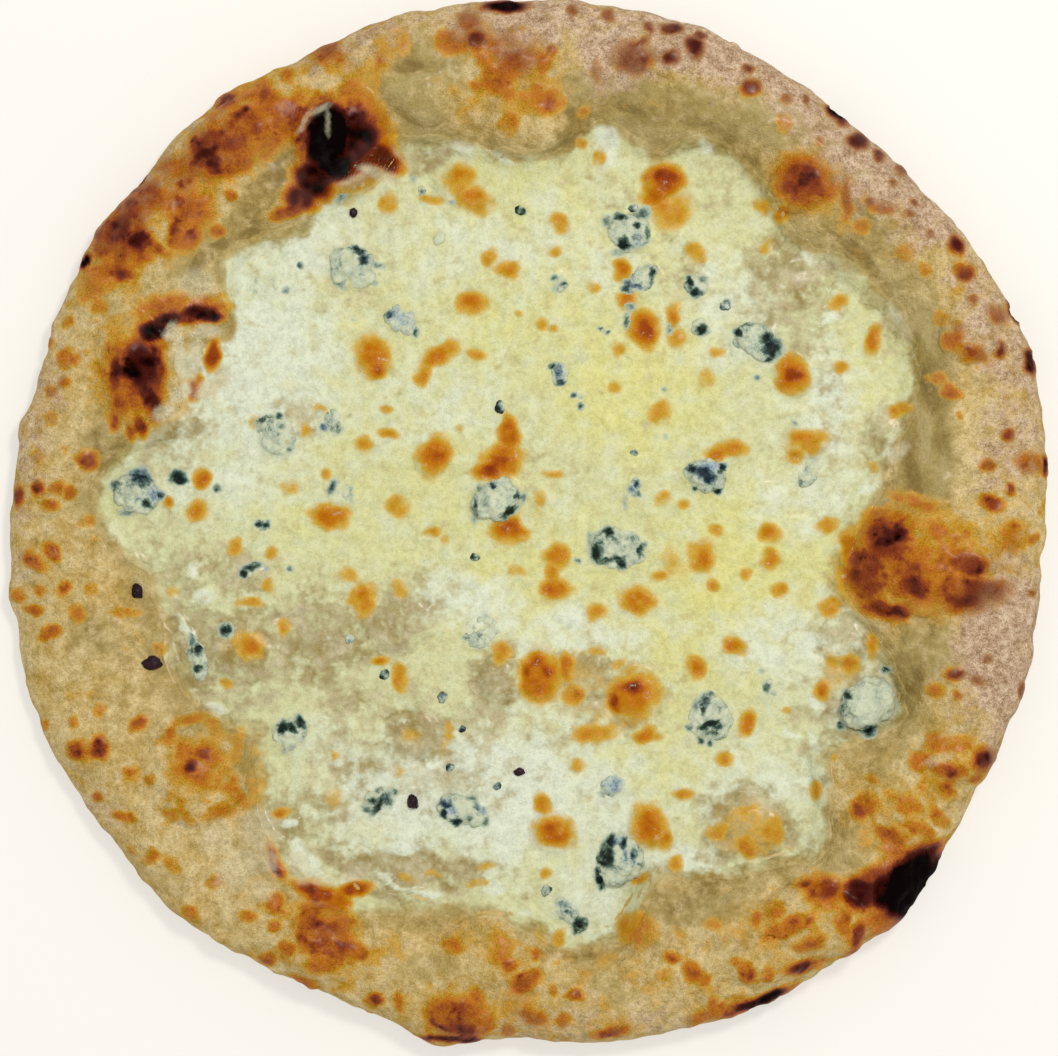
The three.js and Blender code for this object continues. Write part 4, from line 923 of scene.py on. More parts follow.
class Graph:
    """A short way to add nodes to one tree and to join them."""

    # The Mix node's sockets for colours, which share their names with those for numbers.
    FIRST_COLOUR, SECOND_COLOUR, MIXED_COLOUR = 6, 7, 2

    def __init__(self, tree: NodeTree) -> None:
        """Starts with an empty tree."""
        self.tree = tree
        tree.nodes.clear()

    def add(self, kind: str, **settings: object) -> Node:
        """Adds a node and sets its properties."""
        node = self.tree.nodes.new(kind)
        for name, value in settings.items():
            setattr(node, name, value)
        return node

    def feed(self, value: object, socket: Socket) -> None:
        """Links a socket, or sets a plain value."""
        if isinstance(value, bpy.types.NodeSocket):
            self.tree.links.new(value, socket)
        else:
            socket.default_value = value

    def math(self, operation: str, *values: Value, clamp: bool = False) -> Socket:
        """One sum on numbers."""
        node = self.add("ShaderNodeMath", operation=operation, use_clamp=clamp)
        for socket, value in zip(node.inputs, values):
            self.feed(value, socket)
        return node.outputs[0]

    def total(self, *pairs: tuple[Socket, float]) -> Socket:
        """Adds up values, each times its amount."""
        total: Value = 0.0
        for value, amount in pairs:
            total = self.math("MULTIPLY_ADD", value, amount, total)
        return total

    def step(
        self, value: Socket, low: float, high: float, bottom: float = 0.0, top: float = 1.0
    ) -> Socket:
        """A smooth rise from bottom to top while the value goes from low to high."""
        node = self.add("ShaderNodeMapRange", interpolation_type="SMOOTHSTEP")
        for socket, setting in zip(node.inputs, (value, low, high, bottom, top)):
            self.feed(setting, socket)
        return node.outputs[0]

    def mix(self, share: Value, first: object, second: object, blend: str = "MIX") -> Socket:
        """Mixes two colours."""
        node = self.add("ShaderNodeMix", data_type="RGBA", blend_type=blend)
        self.feed(share, node.inputs["Factor"])
        self.feed(first, node.inputs[self.FIRST_COLOUR])
        self.feed(second, node.inputs[self.SECOND_COLOUR])
        return node.outputs[self.MIXED_COLOUR]

    def noise(self, place: Socket, size: float, detail: float = 1.0, rough: float = 0.5) -> Socket:
        """Noise from -1 to 1 with lumps of a size in millimetres."""
        node = self.add("ShaderNodeTexNoise", noise_dimensions="3D")
        self.feed(place, node.inputs["Vector"])
        node.inputs["Scale"].default_value = 1 / size
        node.inputs["Detail"].default_value = detail
        node.inputs["Roughness"].default_value = rough
        return self.math("MULTIPLY_ADD", node.outputs["Fac"], 2.0, -1.0)

    def place(self) -> Socket:
        """The place on the pizza in millimetres."""
        node = self.add("ShaderNodeVectorMath", operation="SCALE")
        self.feed(self.add("ShaderNodeTexCoord").outputs["Object"], node.inputs[0])
        node.inputs["Scale"].default_value = 1 / MM
        return node.outputs[0]

    def read(self, name: Field) -> Socket:
        """A value that the mesh holds at each point."""
        return self.add("ShaderNodeAttribute", attribute_name=name.value).outputs["Fac"]

    def fill(self, node: Node, **values: object) -> Node:
        """Feeds a node's inputs by name, where an underscore stands for a space."""
        for name, value in values.items():
            self.feed(value, node.inputs[name.replace("_", " ")])
        return node

    def place_group(self, group: NodeTree, **values: object) -> Node:
        """Places a node group with its own values."""
        return self.fill(self.add("ShaderNodeGroup", node_tree=group), **values)

    def bump(self, height: Socket, strength: float, distance: float) -> Socket:
        """A normal from a height, whose full depth is a distance in millimetres."""
        node = self.add("ShaderNodeBump")
        node.inputs["Strength"].default_value = strength
        node.inputs["Distance"].default_value = distance * MM
        self.feed(height, node.inputs["Height"])
        return node.outputs[0]


def new_group(
    name: str, inputs: dict[str, str], outputs: dict[str, str]
) -> tuple[Graph, dict[str, Socket], Node]:
    """Starts a shader node group.

    Args:
        name: the group's name.
        inputs: kinds of its inputs by name, Float, Color or Vector.
        outputs: kinds of its outputs by name.

    Returns:
        Its graph, its input sockets by name, and its output node.
    """
    tree = bpy.data.node_groups.new(name, "ShaderNodeTree")
    for kinds, side in ((inputs, "INPUT"), (outputs, "OUTPUT")):
        for socket_name, kind in kinds.items():
            tree.interface.new_socket(socket_name, in_out=side, socket_type=f"NodeSocket{kind}")
    graph = Graph(tree)
    source = graph.add("NodeGroupInput")
    return graph, dict(source.outputs.items()), graph.add("NodeGroupOutput")


# Sizes of the shaders' grain and creases in millimetres.
COARSE_GRAIN = 3.6
MEDIUM_GRAIN = 1.3
FINE_GRAIN = 0.45
TINT_GRAIN = 4.4
CREASE_SIZE = 8.0
# How much of a colour's red is added to it as grey before it is lightened or darkened.
GREY_SHARE = 0.33


class Effects:
    """The node groups that the materials share, each built once."""

    def __init__(self) -> None:
        """Builds the groups."""
        self.browning = self._browning()
        self.grain = self._grain()
        self.mould = self._mould()
        self.shading = self._shading()
        self.creases = self._creases()

    @staticmethod
    def _browning() -> NodeTree:
        """Colours a surface from golden through rust to char as the browning grows.

        The mottle breaks up the edges of the spots, and crisp is where the surface has set hard.
        """
        shades = {"Golden": (0.14, 0.5), "Orange": (0.42, 0.78), "Rust": (0.74, 0.98)}
        shades |= {"Brown": (0.94, 1.18), "Char": (1.16, 1.5)}
        inputs = {"Base": "Color", "Browning": "Float", "Mottle": "Float"}
        inputs |= {shade: "Color" for shade in shades}
        graph, given, result = new_group("Browning", inputs, {"Color": "Color", "Crisp": "Float"})
        begun = graph.step(given["Browning"], 0.02, 0.4, 0.02, 0.42)
        uneven = graph.math("MULTIPLY", begun, graph.step(given["Browning"], 0.5, 1.3, 1.0, 0.34))
        browning = graph.math("MULTIPLY_ADD", given["Mottle"], uneven, given["Browning"])
        colour = given["Base"]
        for shade, (low, high) in shades.items():
            colour = graph.mix(graph.step(browning, low, high), colour, given[shade])
        graph.feed(colour, result.inputs["Color"])
        charred = graph.step(browning, 1.0, 1.4)
        crisp = graph.math("SUBTRACT", graph.step(browning, 0.4, 0.8), charred, clamp=True)
        graph.feed(crisp, result.inputs["Crisp"])
        return graph.tree

    @staticmethod
    def _grain() -> NodeTree:
        """Fine unevenness at several sizes, from about -1 to 1, and a height.

        The mottle and the tint leave out the finest grain, which only the shade has.
        """
        inputs = {"Place": "Vector", "Coarse": "Float", "Medium": "Float", "Fine": "Float"}
        outputs = {"Shade": "Float", "Mottle": "Float", "Tint": "Float", "Height": "Float"}
        graph, given, result = new_group("Fine Grain", inputs, outputs)
        coarse = graph.noise(given["Place"], COARSE_GRAIN, 1.0)
        medium = graph.noise(given["Place"], MEDIUM_GRAIN, 1.0)
        fine = graph.noise(given["Place"], FINE_GRAIN, 1.0, 0.6)
        shade = graph.math("MULTIPLY", coarse, given["Coarse"])
        mottle = graph.math("MULTIPLY_ADD", medium, given["Medium"], shade)
        shade = graph.math("MULTIPLY_ADD", fine, given["Fine"], mottle)
        tint = graph.noise(given["Place"], TINT_GRAIN, 2.0, 0.6)
        graph.feed(mottle, result.inputs["Mottle"])
        graph.feed(shade, result.inputs["Shade"])
        graph.feed(graph.math("MULTIPLY", tint, 2.0), result.inputs["Tint"])
        graph.feed(graph.total((coarse, 0.4), (medium, 0.35), (fine, 0.3)), result.inputs["Height"])
        return graph.tree

    @staticmethod
    def _shading() -> NodeTree:
        """Lightens and darkens a colour by a share, and keeps how strong its hue looks."""
        inputs = {"Base": "Color", "Share": "Float"}
        graph, given, result = new_group("Fine Shading", inputs, {"Color": "Color"})
        red = graph.add("ShaderNodeSeparateColor")
        graph.feed(given["Base"], red.inputs[0])
        grey = graph.add("ShaderNodeCombineColor")
        for socket in grey.inputs[:3]:
            graph.feed(graph.math("MULTIPLY", red.outputs[0], GREY_SHARE), socket)
        lifted = graph.mix(1.0, given["Base"], grey.outputs[0], "ADD")
        scaled = graph.add("ShaderNodeVectorMath", operation="SCALE")
        graph.feed(lifted, scaled.inputs[0])
        graph.feed(given["Share"], scaled.inputs["Scale"])
        graph.feed(graph.mix(1.0, given["Base"], scaled.outputs[0], "ADD"), result.inputs["Color"])
        return graph.tree

    @staticmethod
    def _creases() -> NodeTree:
        """A mask of thin, wandering folds from 0 to 1."""
        inputs = {"Place": "Vector", "Width": "Float"}
        graph, given, result = new_group("Creases", inputs, {"Mask": "Float"})
        ridge = graph.math("ABSOLUTE", graph.noise(given["Place"], CREASE_SIZE, 2.0, 0.55))
        away = graph.math("DIVIDE", ridge, given["Width"])
        graph.feed(graph.step(away, 0.0, 1.0, 1.0, 0.0), result.inputs["Mask"])
        return graph.tree

    @staticmethod
    def _mould() -> NodeTree:
        """Tints a cheese from blue-grey through teal to nearly black as the mould grows."""
        inputs = {"Base": "Color", "Mould": "Float", "Blueness": "Float"}
        graph, given, result = new_group("Mould Tint", inputs, {"Color": "Color"})
        green = ((180, 192, 170), (112, 134, 116), (54, 76, 64), (18, 32, 28))
        blue = ((168, 186, 192), (112, 136, 150), (64, 86, 102), (26, 42, 54))
        ranges = ((0.08, 0.3), (0.28, 0.52), (0.5, 0.72), (0.7, 0.95))
        colour = given["Base"]
        for greenish, bluish, (low, high) in zip(green, blue, ranges):
            tint = graph.mix(given["Blueness"], seen(greenish), seen(bluish))
            colour = graph.mix(graph.step(given["Mould"], low, high), colour, tint)
        graph.feed(colour, result.inputs["Color"])
        return graph.tree


def new_material(name: str, gloss: float = 0.5) -> tuple[Material, Graph, Node]:
    """Starts a material.

    Args:
        name: the material's name.
        gloss: how strongly its surface mirrors light, 0.5 for plain plastic.

    Returns:
        The material, its graph and its Principled shader.
    """
    material = bpy.data.materials.new(name)
    material.use_nodes = True
    graph = Graph(material.node_tree)
    shader = graph.add("ShaderNodeBsdfPrincipled")
    shader.inputs["Specular IOR Level"].default_value = gloss
    graph.feed(shader.outputs["BSDF"], graph.add("ShaderNodeOutputMaterial").inputs["Surface"])
    return material, graph, shader


# ---- Finishes ----


class Dough(NamedTuple):
    """Sockets of the bare dough: its place, colour, oil with painted shade, dryness and grain."""

    place: Socket
    colour: Socket
    oil: Socket
    dry: Socket
    shade: Socket
    mottle: Socket
    tint: Socket
    height: Socket


@dataclass(frozen=True)
class CrustFinish:
    """Baked dough: dry, floured, olive in oil and painted shade, browned and charred in spots."""

    pale: RGB = (216, 195, 142)
    tan: RGB = (195, 163, 92)
    floured: RGB = (208, 184, 156)
    rosy: RGB = (176, 141, 110)
    # Olive for oil-soaked dough, also used for painted shade in hollows and on blister flanks.
    oiled_and_shaded: RGB = (170, 150, 88)
    # Painted shade in the creases and sunken folds of the oiled dough, then painted highlight on its
    # raised folds.
    fold_shading: RGB = (128, 104, 50)
    ridge: RGB = (190, 174, 122)
    golden: RGB = (201, 156, 64)
    orange: RGB = (188, 112, 14)
    rust: RGB = (142, 62, 6)
    brown: RGB = (76, 26, 5)
    char: RGB = (20, 11, 9)
    veil: RGB = (212, 206, 172)
    rosy_golden: RGB = (180, 140, 102)
    rosy_orange: RGB = (146, 94, 62)
    rosy_rust: RGB = (110, 52, 26)
    gloss: float = 0.03
    coat_roughness: float = 0.32
    bump_strength: float = 0.9
    bump_depth: float = 0.6

    def make(self, effects: Effects) -> Material:
        """Builds the crust's material."""
        material, graph, shader = new_material("baked_dough", self.gloss)
        dough = self.dough(graph, graph.place(), effects)
        freckle = graph.step(graph.noise(dough.place, 3.0, 2.0), 0.2, 0.6, 0.0, 0.22)
        patches = graph.step(graph.noise(dough.place, 8.0, 2.0), 0.08, 0.5, 0.0, 0.36)
        unbaked = graph.step(graph.total((dough.oil, 1.0), (dough.dry, 0.7)), 0.0, 0.8, 1.0, 0.2)
        freckle = graph.math("MULTIPLY", graph.math("ADD", freckle, patches), unbaked)
        baked = graph.place_group(
            effects.browning,
            Base=dough.colour,
            Browning=graph.math("ADD", graph.read(Field.BROWNING), freckle),
            Mottle=graph.total((dough.mottle, 0.6), (dough.tint, 0.42)),
            Golden=graph.mix(dough.dry, seen(self.golden), seen(self.rosy_golden)),
            Orange=graph.mix(dough.dry, seen(self.orange), seen(self.rosy_orange)),
            Rust=graph.mix(dough.dry, seen(self.rust), seen(self.rosy_rust)),
            Brown=seen(self.brown),
            Char=seen(self.char),
        )
        colour = graph.mix(graph.read(Field.VEIL), baked.outputs["Color"], seen(self.veil))
        share = graph.step(dough.shade, -1.2, 1.2, -0.34, 0.28)
        share = graph.math("MULTIPLY", share, graph.step(dough.oil, 0.0, 1.0, 1.0, 0.5))
        shaded = graph.place_group(effects.shading, Base=colour, Share=share)
        graph.fill(
            shader,
            Base_Color=shaded.outputs["Color"],
            Coat_Weight=graph.total((dough.oil, 0.5), (baked.outputs["Crisp"], 0.3)),
            Coat_Roughness=self.coat_roughness,
            Roughness=graph.math("MULTIPLY_ADD", dough.shade, 0.08, 0.75),
            Normal=graph.bump(dough.height, self.bump_strength, self.bump_depth),
        )
        return material

    def dough(self, graph: Graph, place: Socket, effects: Effects) -> Dough:
        """Adds the bare dough, which the film at the cheese's edge takes its colour from too."""
        grain = graph.place_group(effects.grain, Place=place, Coarse=0.6, Medium=0.6, Fine=0.85)
        shade, mottle, tint, height = grain.outputs
        broad = graph.noise(place, 14, 2.0)
        toast = graph.step(graph.total((broad, 0.9), (tint, 0.5)), -0.6, 0.7)
        colour = graph.mix(toast, seen(self.pale), seen(self.tan))
        oil = graph.step(graph.math("MULTIPLY_ADD", tint, 0.3, graph.read(Field.OIL)), 0.1, 1.0)
        colour = graph.mix(oil, colour, seen(self.oiled_and_shaded))
        # Painted shade darkens the oiled dough's creases and sunken folds; a painted highlight
        # lightens its raised folds.
        folds = graph.place_group(effects.creases, Place=place, Width=0.2).outputs["Mask"]
        folds = graph.math("MULTIPLY", folds, graph.step(oil, 0.2, 0.8, 0.0, 0.25))
        colour = graph.mix(folds, colour, seen(self.fold_shading))
        ridge = graph.math("MULTIPLY_ADD", mottle, 0.3, graph.read(Field.FOLD))
        raised = graph.math("MULTIPLY", graph.step(ridge, 0.0, 0.8, 0.0, 0.6), oil)
        sunk = graph.math("MULTIPLY", graph.step(ridge, -0.1, -0.8, 0.0, 0.7), oil)
        colour = graph.mix(raised, colour, seen(self.ridge))
        colour = graph.mix(sunk, colour, seen(self.fold_shading))
        dust = graph.mix(graph.step(shade, -0.9, 0.7), seen(self.rosy), seen(self.floured))
        flour = graph.step(graph.math("MULTIPLY_ADD", tint, -0.35, graph.read(Field.FLOUR)), 0.1, 0.9)
        colour = graph.mix(flour, colour, dust)
        return Dough(place, colour, oil, flour, shade, mottle, tint, height)


@dataclass(frozen=True)
class CheeseFinish:
    """Melted white cheeses: moist, buttery or milky by place, clear where thin, browned in spots."""

    plain: RGB = (213, 215, 166)
    buttery: RGB = (221, 217, 140)
    milky: RGB = (224, 231, 208)
    clear: RGB = (150, 128, 64)
    hazy: RGB = (201, 192, 154)
    # Olive at the oil-soaked edge, also painted shade in the hollows round the blisters.
    oiled_and_shaded: RGB = (166, 150, 88)
    # Paler film on the edge's fold ridges: partly painted highlight, partly uneven tone.
    lit_edge_film: RGB = (198, 190, 140)
    # Painted shade in the creases of thin cheese and of the edge.
    fold_shading: RGB = (132, 116, 62)
    golden: RGB = (206, 164, 58)
    orange: RGB = (192, 116, 8)
    rust: RGB = (156, 70, 4)
    brown: RGB = (106, 40, 10)
    char: RGB = (26, 14, 10)
    crust: CrustFinish = CrustFinish()
    gloss: float = 0.06
    coat_roughness: float = 0.24
    bump_strength: float = 0.6
    bump_depth: float = 0.5

    def make(self, effects: Effects) -> Material:
        """Builds the melted cheese's material."""
        material, graph, shader = new_material("melted_cheeses", self.gloss)
        place = graph.place()
        grain = graph.place_group(effects.grain, Place=place, Coarse=0.45, Medium=0.45, Fine=0.45)
        shade, speckle, tint, height = grain.outputs
        broad = graph.noise(place, 9, 2.0)
        mottle = graph.total((broad, 0.42), (tint, 0.2))
        butter = graph.math("ADD", mottle, graph.read(Field.BUTTER))
        milk = graph.math("SUBTRACT", graph.read(Field.MILK), mottle)
        thin = graph.math("MULTIPLY_ADD", tint, 0.5, graph.read(Field.CLEAR))
        edge = graph.math("MULTIPLY_ADD", tint, 0.3, graph.read(Field.EDGE))
        colour = graph.mix(graph.step(butter, -0.1, 1), seen(self.plain), seen(self.buttery))
        colour = graph.mix(graph.step(milk, -0.1, 1), colour, seen(self.milky))
        cloudy = graph.total((broad, 1.0), (tint, 0.3))
        glassy = graph.mix(graph.step(cloudy, -0.4, 0.5), seen(self.clear), seen(self.hazy))
        # Pale flecks in the clear cheese: partly milky clouds, partly painted glints.
        glassy = graph.mix(graph.step(speckle, 0.2, 0.6, 0.0, 0.8), glassy, seen(self.milky))
        thin = graph.step(thin, 0.05, 0.9)
        colour = graph.mix(thin, colour, glassy)
        edge = graph.step(edge, 0.2, 1.0)
        # At its edge the film turns from olive to paler where the folds rise: partly painted
        # highlight, partly uneven tone.
        folded = graph.total((graph.read(Field.FOLD), 0.9), (tint, 0.7), (speckle, 0.8))
        oily = graph.mix(graph.step(folded, -0.7, 0.9), seen(self.oiled_and_shaded), seen(self.lit_edge_film))
        colour = graph.mix(edge, colour, oily)
        # Painted shade in the creases where the cheese is thin and at its edge.
        folds = graph.place_group(effects.creases, Place=place, Width=0.12).outputs["Mask"]
        where = graph.total((thin, 0.45), (edge, 0.6))
        folds = graph.math("MULTIPLY", folds, where, clamp=True)
        colour = graph.mix(graph.math("MULTIPLY", folds, 0.6), colour, seen(self.fold_shading))
        dough = self.crust.dough(graph, place, effects)
        colour = graph.mix(graph.read(Field.BARE), colour, dough.colour)
        baked = graph.place_group(
            effects.browning,
            Base=colour,
            Browning=graph.read(Field.BROWNING),
            Mottle=graph.total((speckle, 0.5), (tint, 0.25)),
            Golden=seen(self.golden),
            Orange=seen(self.orange),
            Rust=seen(self.rust),
            Brown=seen(self.brown),
            Char=seen(self.char),
        )
        mould = graph.math("MULTIPLY_ADD", shade, 0.4, graph.read(Field.MOULD))
        blueness = graph.read(Field.BLUENESS)
        baked_colour = baked.outputs["Color"]
        blued = graph.place_group(effects.mould, Base=baked_colour, Mould=mould, Blueness=blueness)
        colour = graph.mix(graph.read(Field.VEIL), blued.outputs["Color"], seen(self.crust.veil))
        shaded = graph.place_group(
            effects.shading, Base=colour, Share=graph.step(shade, -1.0, 1.0, -0.22, 0.22)
        )
        wet = graph.step(graph.total((thin, 0.7), (broad, 0.4)), 0.0, 0.8, 0.04, 0.5)
        dried = graph.step(graph.read(Field.BROWNING), 0.2, 0.7, 1.0, 0.25)
        graph.fill(
            shader,
            Base_Color=shaded.outputs["Color"],
            Coat_Weight=graph.math("MULTIPLY", wet, dried),
            Coat_Roughness=self.coat_roughness,
            Roughness=graph.math("MULTIPLY_ADD", broad, 0.1, 0.42),
            Normal=graph.bump(height, self.bump_strength, self.bump_depth),
        )
        return material


@dataclass(frozen=True)
class BlueCheeseFinish:
    """Crumbly cream cheese with veins of blue-green mould."""

    cream: RGB = (220, 226, 198)
    rind: RGB = (190, 197, 162)
    gloss: float = 0.2
    bump_strength: float = 0.6
    bump_depth: float = 0.4

    def make(self, effects: Effects) -> Material:
        """Builds the crumbles' material."""
        material, graph, shader = new_material("blue_cheese", self.gloss)
        place = graph.place()
        grain = graph.place_group(effects.grain, Place=place, Coarse=0.3, Medium=0.5, Fine=0.5)
        shade, height = grain.outputs["Shade"], grain.outputs["Height"]
        colour = graph.mix(graph.step(shade, -0.9, 0.5), seen(self.rind), seen(self.cream))
        mould = graph.math("MULTIPLY_ADD", shade, 0.5, graph.read(Field.MOULD))
        blued = graph.place_group(
            effects.mould, Base=colour, Mould=mould, Blueness=graph.read(Field.BLUENESS)
        )
        graph.fill(
            shader,
            Base_Color=blued.outputs["Color"],
            Roughness=graph.math("MULTIPLY_ADD", shade, 0.1, 0.48),
            Normal=graph.bump(height, self.bump_strength, self.bump_depth),
        )
        return material


@dataclass(frozen=True)
class PepperFinish:
    """Cracked peppercorn: nearly black, with a purple cast."""

    dark: RGB = (34, 18, 28)
    light: RGB = (78, 46, 58)
    gloss: float = 0.2
    bump_strength: float = 0.6
    bump_depth: float = 0.3

    def make(self, effects: Effects) -> Material:
        """Builds the pepper's material."""
        material, graph, shader = new_material("cracked_pepper", self.gloss)
        place = graph.place()
        grain = graph.place_group(effects.grain, Place=place, Coarse=0.4, Medium=0.6, Fine=0.4)
        share = graph.step(grain.outputs["Shade"], -0.2, 1.0)
        graph.fill(
            shader,
            Base_Color=graph.mix(share, seen(self.dark), seen(self.light)),
            Roughness=graph.math("MULTIPLY_ADD", share, 0.2, 0.4),
            Normal=graph.bump(grain.outputs["Height"], self.bump_strength, self.bump_depth),
        )
        return material


# ---- The pieces ----


@dataclass(frozen=True)
class BakedCrust:
    """The dough: a thin base with a puffed, blistered rim."""

    form: PizzaForm
    turn_steps: int = 38
    slope_steps: int = 34
    lap_steps: int = 8
    crest_turn: float = 86.0  # How far round the rim's outer half turns, in degrees.
    swelling_from: float = 0.4
    # The relief grows between these heights, and between these ways out from the cheese's edge.
    relief_heights: tuple[float, float] = (0.4, 3.5)
    relief_edge: tuple[float, float] = (-6.0, -1.0)
    lumps: Layers = (Layer(0.8, 10, 11), Layer(0.5, 4.6, 12), Layer(0.2, 2.1, 13))
    crackle: Layers = (Layer(0.5, 2.2, 14), Layer(0.9, 5, 15))
    blister_seed: int = 41
    blister_count: int = 190
    blister_radii: tuple[float, float] = (2.2, 7.5)
    blister_heights: tuple[float, float] = (0.3, 1.2)
    underside_step: float = 2.7
    underside_start: float = 1.2
    underside_end: float = 0.04
    least_spokes: int = 60
    closest_spokes: float = 0.45
    underside_push: Layer = Layer(7, 11, 51)
    oven_spots: Layer = Layer(1, 8.5, 24)
    oven_patches: Layer = Layer(1, 40, 52)
    base_shares: tuple[float, ...] = (0.95, 0.85, 0.65, 0.35)

    def section(self) -> Array:
        """The dough's surface from its edge over the rim to its foot, as [ring, spoke] points."""
        degrees = self.form.degrees
        rim = self.form.rim(degrees)
        turns = np.radians(np.linspace(-90, self.crest_turn, self.turn_steps))[:, None]
        belly = rim.crest * BELLY_SHARE
        top = rim.outer - rim.half
        inner = top + (rim.edge - top) * np.linspace(0, 1, self.slope_steps)[:, None]
        lap = rim.edge - CHEESE_LAP * np.linspace(0, 1, self.lap_steps + 1)[1:, None]
        inner = np.vstack([inner, lap])
        radius = np.vstack([rim.outer - rim.half * (1 - np.cos(turns)), inner])
        turned = belly + np.where(turns < 0, belly, rim.crest - belly) * np.sin(turns)
        height = np.vstack([turned, self.form.slope(rim, inner)])
        outward, upward = np.gradient(height, axis=0), -np.gradient(radius, axis=0)
        length = np.hypot(outward, upward)
        outward, upward = outward / length, upward / length
        cos, sin = np.cos(np.radians(degrees)), np.sin(np.radians(degrees))
        x, y = radius * cos, radius * sin
        flat = np.column_stack([x.ravel(), y.ravel()])
        swelling = blisters(flat, DOUGH_BLISTERS).reshape(x.shape) + CHEESE_WAVE * wave(2 * x, 2 * y)
        fade = np.clip(height / belly - self.swelling_from, 0, 1) * (upward > 0)
        reach = radius + outward * swelling * fade
        return np.stack([reach * cos, reach * sin, height + upward * swelling * fade], axis=2)

    def relief(self, points: Array, browning: Array) -> Array:
        """Height of the fine relief: lumps, small blisters, domes under browned spots and char."""
        charred = smooth_step(1.1, 1.5, browning)
        crackle = charred * uneven(points, *self.crackle)
        domes = 0.5 * smooth_step(0.3, 0.9, browning) * (1 - charred)
        folds = 0.5 * self.form.oil(points) * self.form.folds(points)
        return uneven(points, *self.lumps) + crackle + domes + self.small_blisters(points) + folds

    def small_blisters(self, points: Array) -> Array:
        """Height of the many small blisters, whose places are drawn by chance."""
        highest = np.zeros(len(points))
        draw = np.random.default_rng(self.blister_seed)
        for index in draw.choice(len(points), self.blister_count, replace=False):
            radius, height = draw.uniform(*self.blister_radii), draw.uniform(*self.blister_heights)
            away = np.linalg.norm(points - points[index], axis=1) / radius
            highest = np.maximum(highest, height * np.maximum(1 - away**2, 0))
        return highest

    def fields(self, points: Array) -> Fields:
        """What the material needs at each point: the oven's spots mark the underside."""
        under = smooth_step(1.2, 0.2, points[:, 2])
        pushed = warped(points * FLAT, self.underside_push)
        spots = smooth_step(0.0, 0.62, uneven(pushed, self.oven_spots))
        spots *= smooth_step(-0.5, 0.5, uneven(pushed, self.oven_patches))
        browning = self.form.browning(points) * (1 - under) + under * (0.18 + 0.95 * spots)
        return {
            Field.BROWNING: browning,
            Field.FLOUR: np.maximum(self.form.flour(points), 0.75 * under),
            Field.OIL: self.form.oil(points) * (1 - under),
            Field.VEIL: self.form.veil(points) * (1 - under),
            Field.FOLD: self.form.folds(points) * (1 - under),
        }

    def build(self, material: Material) -> tuple[bpy.types.Object, BVHTree]:
        """Makes the dough.

        Returns:
            The piece, and a tree for finding its height in millimetres.
        """
        grid = self.section()
        shape = grid.shape
        flat = grid.reshape(-1, 3)
        relief = self.relief(flat, self.form.browning(flat))
        relief *= smooth_step(*self.relief_heights, flat[:, 2])
        relief *= smooth_step(*self.relief_edge, self.form.beyond(flat))
        grid = grid + surface_normals(grid) * relief.reshape(shape[0], shape[1], 1)
        grid[:, :, 2] = np.maximum(grid[:, :, 2], 0)
        rings = self.underside(grid[0]) + list(grid) + self.hidden_base(grid[-1])
        points, faces = join_rings(rings)
        piece = make_piece(
            "baked_crust", points, faces, self.fields(points), material, ["crust"]
        )
        tree = BVHTree.FromPolygons(points.tolist(), faces.tolist())
        return piece, tree

    def underside(self, rim_ring: Array) -> list[Array]:
        """Flat rings from the middle of the underside out to the rim."""
        rings = []
        radius = float(np.hypot(rim_ring[:, 0], rim_ring[:, 1]).mean())
        share = 1 - self.underside_start / radius
        count = len(rim_ring)
        while share > self.underside_end:
            spacing = share * radius * math.tau / count
            if count > self.least_spokes and spacing < self.underside_step * self.closest_spokes:
                count //= 2
            rings.append(rim_ring[:: len(rim_ring) // count] * (share, share, 0))
            share -= self.underside_step / radius
        return rings[::-1]

    def hidden_base(self, foot: Array) -> list[Array]:
        """Rings that close the base under the melted cheese."""
        rings = []
        count = len(foot)
        for share in self.base_shares:
            count //= 2
            rings.append(foot[:: len(foot) // count] * (share, share, 0) + (0, 0, BASE_THICKNESS))
        return rings


# Heights: above the whole pizza, the top of flat melted cheese, and a value for where no dough is.
ABOVE_ALL = 60.0
CHEESE_TOP = 7.0
NO_DOUGH = -10.0


def height_of(tree: BVHTree, x: float, y: float, missing: float) -> float:
    """Height of a surface at a place, or a value where there is none."""
    place = tree.ray_cast(Vector((x, y, ABOVE_ALL)), Vector((0, 0, -1)))[0]
    return missing if place is None else place.z


